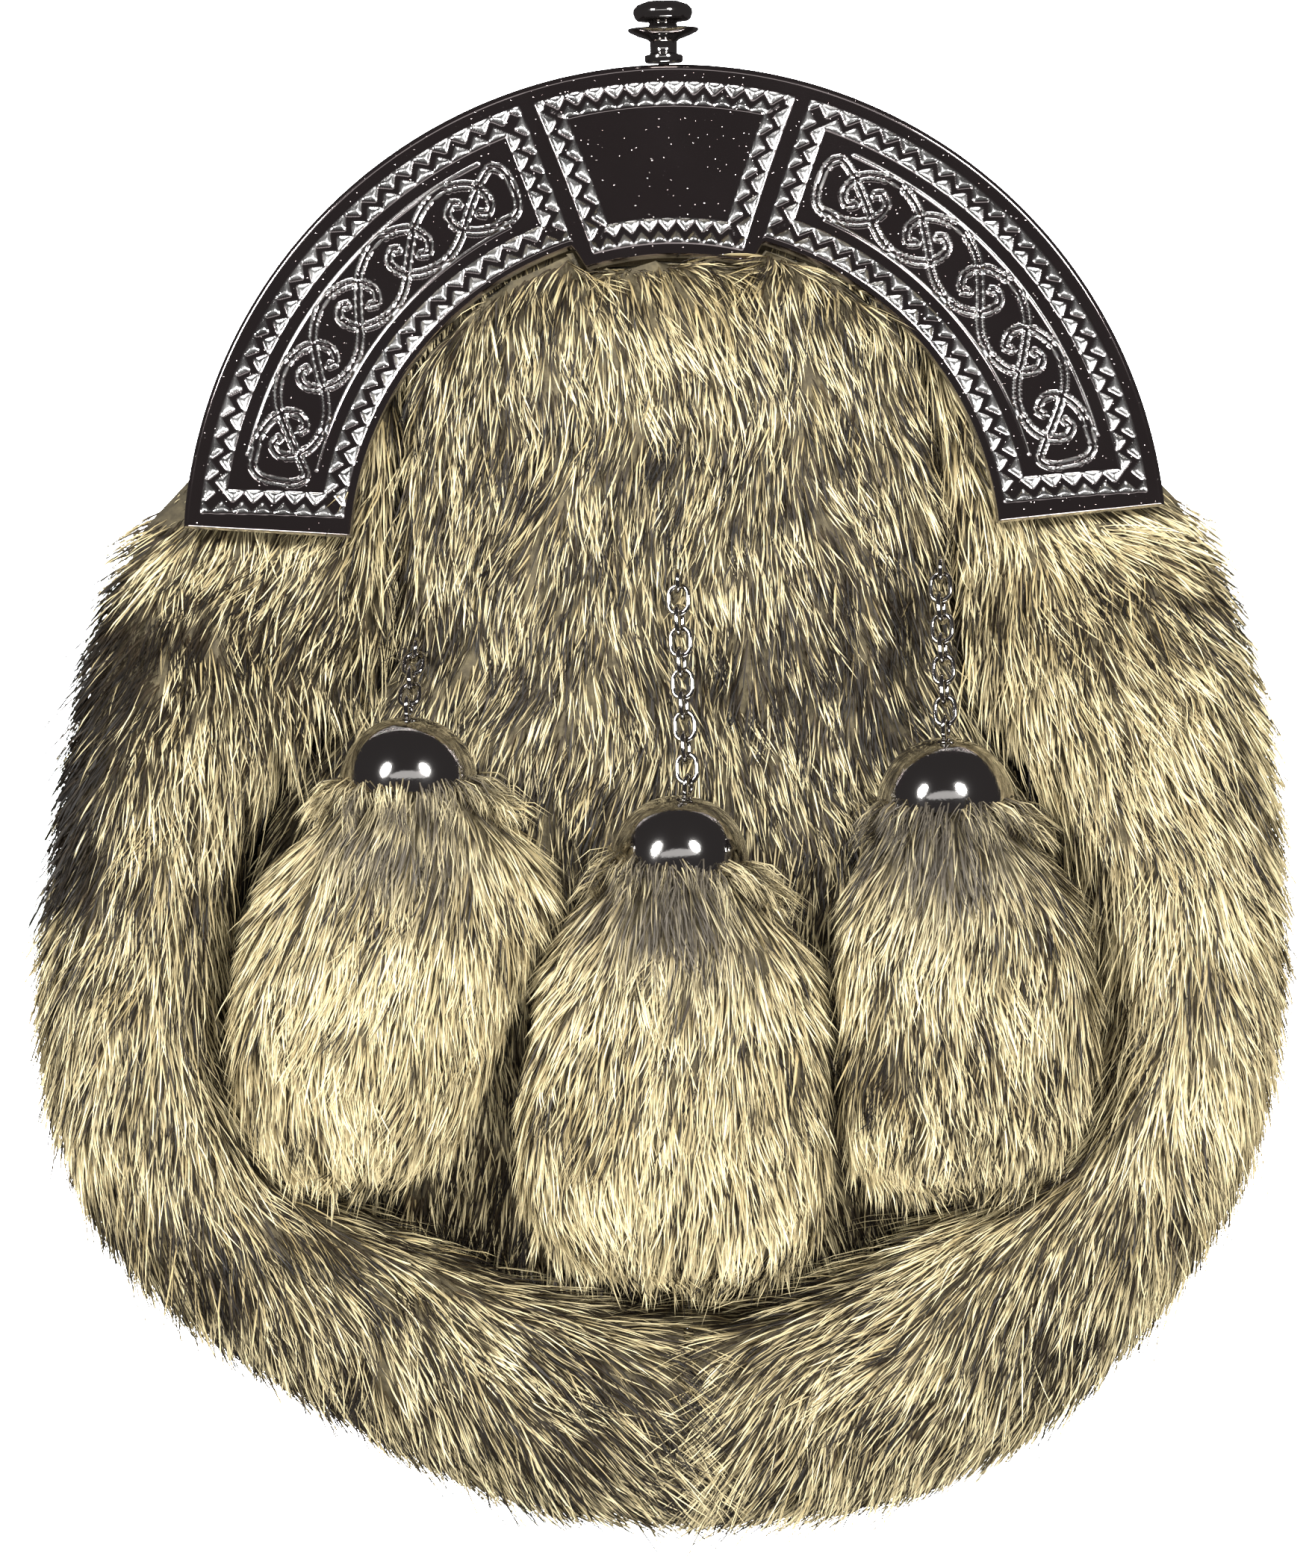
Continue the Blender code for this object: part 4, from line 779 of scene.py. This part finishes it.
def hair_colours(roots, clump_luck, dark_bias, grey_bias):
    """The colour along every hair: dull root, pale band, and a pale or dark tip."""
    tones = BLEND_COLOURS
    count = len(roots)
    patch = 0.5 * waves(roots, 26, 3) + 0.35 * waves(roots, 9, 4) + 0.5 * clump_luck
    dark = random.random(count) < np.clip(DARK_HAIRS - 0.22 * patch + dark_bias, 0.03, 0.97)
    ticked = random.random(count) < np.clip(TICKED_HAIRS + dark_bias - 0.1 * patch, 0.1, 0.9)
    barred = (random.random(count) < np.clip(BARRED_HAIRS + 0.5 * dark_bias, 0.02, 0.6))[:, None]
    pale = np.clip(0.62 + 0.3 * patch + random.normal(0, 0.16, count), 0, 1)[:, None]
    bright = tones["taupe"] * (1 - pale) + tones["cream"] * pale
    dull = tones["umber"] * (1 - pale * 0.5) + tones["taupe"] * pale * 0.5
    band = tones["sand"] * (1 - pale) + bright * pale
    tip = np.where(ticked[:, None], tones["umber"] * 0.6 + tones["soot"] * 0.4, bright)
    middle = np.where(barred, tones["umber"] * 0.8, dull * 0.4 + band * 0.6)
    rows = [dull * 0.8, middle, bright, tip]
    sooty = tones["soot"] * 0.6 + tones["umber"] * 0.4
    dark_rows = [sooty, sooty, tones["soot"], tones["soot"] * 0.8]
    colours = np.stack([np.where(dark[:, None], d, r) for d, r in zip(dark_rows, rows)], axis=1)
    grey = np.clip(grey_bias * random.uniform(0.25, 1.25, count), 0, 1)[:, None, None]
    ash = tones["ash"] * random.uniform(0.7, 1.15, count)[:, None]
    colours = colours * (1 - grey) + ash[:, None, :] * grey
    return colours * random.uniform(0.88, 1.12, count)[:, None, None]


def scatter(surface, keep, count):
    """Random places on the kept faces, in mm, and the surface's normals there."""
    points, triangles = surface
    corners, _, area = triangle_frames(points, triangles)
    vertex_normal = vertex_normals(points, triangles)
    weight = np.where(keep, area, 0.0)
    chosen = random.choice(len(triangles), count, p=weight / weight.sum())
    u, v = random.random(count), random.random(count)
    fold = u + v > 1
    u[fold], v[fold] = 1 - u[fold], 1 - v[fold]
    shares = np.stack([1 - u - v, u, v], axis=1)[:, :, None]
    places = sum(corners[i][chosen] * shares[:, i] for i in range(3))
    normal = unit(sum(vertex_normal[triangles[chosen, i]] * shares[:, i] for i in range(3)))
    return places, normal


def gather_tufts(roots, size):
    """Each hair's tuft, the hair in the middle of every tuft, and how pale or unruly the tuft is."""
    count = max(8, len(roots) // size)
    middles = random.choice(len(roots), count, replace=False)
    owner = nearest_clump(roots, roots[middles])
    return owner, middles, random.normal(0, 1, count)


def combed(roots, normal, flow, luck):
    """The way each hair lies on the surface: the flow, with waves, tufts and stray hairs in it."""
    way = flow(roots)
    way = way / np.maximum(np.linalg.norm(way, axis=1), 1e-6)[:, None]
    swirl = WAVE_SWIRL * waves(roots, 30, 11) + TUFT_SWIRL * luck
    swirl = swirl + random.normal(0, STRAY_SWIRL, len(roots))
    way = way + np.cross(normal, way) * swirl[:, None]
    return unit(way - normal * (way * normal).sum(1)[:, None])


def hair_spines(roots, normal, way, hair):
    """The points along every hair: it rises from its root, droops and bends to one side."""
    count = len(roots)
    length = hair["length"] * np.clip(random.normal(1, 0.16, count), 0.55, 1.5)
    length = length * under_arch(roots)
    lift = np.radians(hair["lift"] * np.clip(random.normal(1, 0.35, count), 0.2, 2.0))
    share = STEPS[None, :, None]
    lifted = np.sin(lift)[:, None, None] * (share - DROOP * share ** 2) * normal[:, None, :]
    bend = np.cross(normal, way) * random.normal(0, SIDE_BEND, count)[:, None]
    onward = share - hair["curl"] * share ** 2
    track = onward * way[:, None, :] + lifted + share ** 2 * bend[:, None, :]
    return roots[:, None, :] + track * length[:, None, None]


def hair_strips(spine, normal, way, width):
    """Every hair as two quads and a pointed tip, turned a little about its length."""
    count = len(spine)
    tilt = random.uniform(-0.9, 0.9, count)[:, None]
    facing = unit(np.cross(way, normal) * np.cos(tilt) + normal * np.sin(tilt))
    half = width / 2 * random.uniform(0.6, 1.35, count)[:, None, None] * TAPER[None, :, None]
    left = spine[:, :3] - facing[:, None, :] * half
    right = spine[:, :3] + facing[:, None, :] * half
    verts = np.concatenate([left, right, spine[:, 3:]], axis=1)
    verts[:, :, 2] = np.maximum(verts[:, :, 2], FLOOR_GAP)
    base = np.arange(count)[:, None] * verts.shape[1]
    quads = np.concatenate([base + np.array([i, i + 3, i + 4, i + 1])[None, :] for i in range(2)])
    tips = base + np.array([2, 5, 6])[None, :]
    return verts, quads, tips


def coat(name, surface, keep, hair, material):
    """Hair in strips over the kept faces of a surface."""
    places, normal = scatter(surface, keep, int(hair["count"] * HAIR_SHARE))
    roots = places - normal * hair["sunk"]
    owner, middles, luck = gather_tufts(roots, hair["clump"])
    way = combed(roots, normal, hair["flow"], luck[owner])
    spine = hair_spines(roots, normal, way, hair)
    pull = hair["gather"] * random.uniform(0.3, 1.0, len(roots))[:, None, None]
    pull = pull * STEPS[None, :, None] ** 1.4
    spine = spine * (1 - pull) + spine[middles][owner] * pull
    verts, quads, tips = hair_strips(spine, normal, way, hair["width"])
    colours = hair_colours(roots, luck[owner], hair["dark"](roots), hair["grey"](roots))
    per_vertex = np.concatenate([colours[:, :3], colours[:, :3], colours[:, 3:]], axis=1)
    mesh = strip_mesh(name, to_row(verts.reshape(-1, 3)), quads, tips)
    rgb = np.clip(per_vertex.reshape(-1, 3), 0, 1)
    tint = mesh.color_attributes.new("tint", "FLOAT_COLOR", "POINT")
    tint.data.foreach_set("color", np.column_stack([rgb, np.ones(len(rgb))]).astype(np.float32).ravel())
    return dressed(name, mesh, material)


def strip_mesh(name, verts, quads, tips):
    """A mesh of many strips at once."""
    mesh = bpy.data.meshes.new(name)
    mesh.vertices.add(len(verts))
    mesh.vertices.foreach_set("co", verts.astype(np.float32).ravel())
    loops = np.concatenate([quads.ravel(), tips.ravel()])
    mesh.loops.add(len(loops))
    mesh.loops.foreach_set("vertex_index", loops.astype(np.int32))
    starts = np.concatenate([np.arange(len(quads)) * 4, len(quads) * 4 + np.arange(len(tips)) * 3])
    mesh.polygons.add(len(starts))
    mesh.polygons.foreach_set("loop_start", starts.astype(np.int32))
    mesh.update(calc_edges=True)
    mesh.validate()
    return mesh


def none(points):
    """No grey hairs anywhere."""
    return np.zeros(len(points))


# Darker places in the fur, and a paler one of negative strength, in mm about the arch's middle: x, y,
# half width, half height, strength. The paler one, just under the arch's tab, is painted light that
# lifts the plate's shadow off the fur there.
LEFT_SPOTS = ((-91, -12, 9, 16, 0.9), (-95, -38, 6, 14, 0.8), (-66, -10, 20, 12, 0.3))
RIGHT_SPOTS = ((84, -8, 6, 6, 0.35), (62, -122, 7, 6, 0.3))
FRONT_SPOTS_AND_LIT_PATCH = ((31, -16, 15, 20, 0.26), (8, -28, 9, 22, 0.1), (-44, -8, 9, 11, 0.3),
               (0, 44, 18, 7, -0.35))


def darker_at(places, base):
    """How much darker the fur is at each point: a base, round spots, and the low part of the pouch."""

    def dark(points):
        total = base + 0.2 * np.clip((-points[:, 1] - 90) / 25, 0, 1)
        for x, y, width, height, strength in places:
            away = ((points[:, 0] - x) / width) ** 2 + ((points[:, 1] - y) / height) ** 2
            total = total + strength * np.exp(-away)
        return total

    return dark


def tassel_dark(side):
    """Pale on the belly, brown at the tip, and browner all over on the right one."""
    tip = np.array(TASSELS[side]["tip"])
    base = {"left": -0.15, "middle": -0.1, "right": 0.02}[side]

    def dark(points):
        return base + 0.3 * np.clip((tip[1] + 9 - points[:, 1]) / 12, 0, 1)

    return dark


def cap_grey(side):
    """Grey hairs just below the cap, in streaks."""
    rim = np.array(TASSELS[side]["rim"])

    def grey(points):
        away = np.linalg.norm(points[:, :2] - rim + np.array([0, 3.0]), axis=1)
        return 1.5 * np.exp(-(away / 10.0) ** 2) * (0.85 + 0.45 * waves(points, 8, 21))

    return grey


def skin(name, node, surface, inset, material):
    """The undercoat under the hairs: the smoothed solid, drawn in a little."""
    points, triangles = surface
    inner = points - vertex_normals(points, triangles) * inset
    mesh = bpy.data.meshes.new(name)
    mesh.from_pydata(to_row(inner).tolist(), [], triangles.tolist())
    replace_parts(dressed(name, mesh, material), node)


def make_rolls(hair, under):
    """Long hair and a few longer guard hairs on the outside of both rolls."""
    tree = shell_tree()
    for side, places, base in (("left", LEFT_SPOTS, 0.03), ("right", RIGHT_SPOTS, -0.06)):
        surface = surface_of(f"gusset_{side}")
        corners, normals, _ = triangle_frames(*surface_of(f"gusset_{side}", 0))
        keep = faces_outside(sum(corners) / 3, normals, tree)
        look = {"flow": roll_flow, "dark": darker_at(places, base), "grey": none}
        coat(f"roll_fur_{side}", surface, keep, ROLL_HAIR | look, hair)
        coat(f"roll_guard_hair_{side}", surface, keep, GUARD_HAIR | look, hair)
        skin(f"roll_underfur_{side}", f"gusset_{side}", surface, 1.2, under)


def make_front(hair, under):
    """Shorter hair down the front."""
    surface = surface_of("front_panel")
    corners, normals, _ = triangle_frames(*surface)
    keep = (normals[:, 2] > -0.1) & (sum(corners)[:, 2] / 3 > FRONT_FUR_BASE)
    look = {"flow": front_flow, "dark": darker_at(FRONT_SPOTS_AND_LIT_PATCH, 0.21), "grey": none}
    coat("front_fur", surface, keep, FRONT_HAIR | look, hair)
    skin("front_underfur", "front_panel", surface, 1.0, under)


def make_tassels(hair, under):
    """Short hair out of every cap, and a collar of it that laps over the cap's rim."""
    for side in TASSELS:
        surface = surface_of(f"tassel_{side}", 2)
        corners, normals, _ = triangle_frames(*surface)
        place = cap_matrix(side)
        height = ((sum(corners) / 3 - np.array(place.translation)) @ np.array(place.to_3x3()))[:, 2]
        look = {"flow": tassel_flow(side), "dark": tassel_dark(side), "grey": cap_grey(side)}
        coat(f"tassel_fur_{side}", surface, height < 2.5, TASSEL_HAIR | look, hair)
        collar = (np.abs(height + 1.6) < 1.6) & (normals[:, 2] > 0.1)
        look["flow"] = cap_flow(side)
        coat(f"tassel_collar_{side}", surface, collar, COLLAR_HAIR | look, hair)
        skin(f"tassel_underfur_{side}", f"tassel_{side}", surface, 0.8, under)


def under_arch(points):
    """Hair that starts under the arch is short, so that none comes up through the plate."""
    radius = np.linalg.norm(points[:, :2], axis=1)
    edge = np.where(np.abs(points[:, 0]) < TAB_HALF_WIDTH, TAB_RADIUS, INNER_RADIUS)
    covered = (radius > edge + 6) & (radius < OUTER_RADIUS + 1.5) & (points[:, 1] > ARCH_FOOT)
    return np.where(covered, COVERED_LENGTH, 1.0)


# Camera and light


def make_camera():
    camera = bpy.data.cameras.new("camera")
    camera.sensor_fit = "VERTICAL"
    camera.angle = 2 * math.atan(VIEW_HEIGHT / 2 / CAMERA_HEIGHT)
    camera.clip_end = 10
    holder = bpy.data.objects.new("camera", camera)
    place = to_row([[VIEW_MIDDLE[0], VIEW_MIDDLE[1], VIEW_PLANE + CAMERA_HEIGHT]])[0]
    holder.location = place
    holder.rotation_euler = (0, 0, -math.radians(CAMERA_LEAN))
    bpy.context.scene.collection.objects.link(holder)
    bpy.context.scene.camera = holder


def area_light(name, place, aim, size, power, mirrored):
    light = bpy.data.lights.new(name, "AREA")
    light.shape = "ELLIPSE"
    light.size, light.size_y = size
    light.energy = power
    holder = bpy.data.objects.new(name, light)
    holder.visible_glossy = mirrored
    holder.location = Vector(place)
    holder.rotation_euler = (Vector(aim) - Vector(place)).to_track_quat("-Z", "Y").to_euler()
    bpy.context.scene.collection.objects.link(holder)


def make_world():
    """White behind the object, a dim room in the metal, and an even sky on the fur."""
    bpy.context.scene.view_settings.view_transform = "Standard"
    world = bpy.data.worlds.new("studio")
    world.use_nodes = True
    bpy.context.scene.world = world
    path = add_node(world, "ShaderNodeLightPath")
    lit = add_node(world, "ShaderNodeMix", data_type="RGBA")
    fill(world, lit, {"Factor": path.outputs["Is Diffuse Ray"], 6: DIM_ROOM, 7: SKY})
    seen = add_node(world, "ShaderNodeMix", data_type="RGBA")
    fill(world, seen, {"Factor": path.outputs["Is Camera Ray"], 6: lit.outputs[2], 7: WHITE_PAPER})
    fill(world, world.node_tree.nodes["Background"], {"Color": seen.outputs[2]})


def make_lights():
    """Two lamps above the caps, a bright ceiling and sill, and soft light on the fur alone."""
    for name, place, size, power, mirrored in LIGHTS:
        area_light(name, place, (0, 0, 0.03), size, power, mirrored)


def dress_leather():
    """Black leather on the back's pieces, and plate on the stud."""
    leather = grained_leather("black_grained_leather", "12100F", "332D29")
    for node in ("back_panel", "back_flap", "strap_loop_left", "strap_loop_right"):
        paint(node, leather)
    paint("flap_stud", polished_metal("stud_nickel", "C6C4C2", 0.2))
    return leather


def make_lining(leather):
    """A thin sheet in the back's thickness that closes its seam with the rolls."""
    points = from_row(node_points("back_panel"))
    low = points[points[:, 1] < -4.0][:, :2]
    rim = low[geometry.convex_hull_2d([Vector(point) for point in low])]
    rim = rim + unit(rim - rim.mean(0)) * 4.5
    rim[:, 1] = np.minimum(rim[:, 1], -2.0)
    height = points[:, 2].min() + 1.0
    sheet = bmesh.new()
    bmesh.ops.contextual_create(sheet, geom=[sheet.verts.new((x, y, height)) for x, y in rim])
    bmesh.ops.transform(sheet, matrix=ROW, verts=sheet.verts)
    mesh = bpy.data.meshes.new("seam_lining")
    sheet.to_mesh(mesh)
    sheet.free()
    dressed("seam_lining", mesh, leather, smooth=False)


def paint(node, material):
    """Gives a CAD piece its material."""
    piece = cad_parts[node]
    for slot in piece.material_slots:
        slot.material = material


def main():
    make_camera()
    make_world()
    make_lights()
    make_cantle(relief_metal())
    bright = polished_metal("mirror_nickel", "B9B6B3", 0.07)
    make_knob(bright)
    make_caps(bright)
    make_eyes(bright)
    make_links(bright)
    make_lining(dress_leather())
    hair, under = hair_material(), underfur_material()
    make_rolls(hair, under)
    make_front(hair, under)
    make_tassels(hair, under)


main()
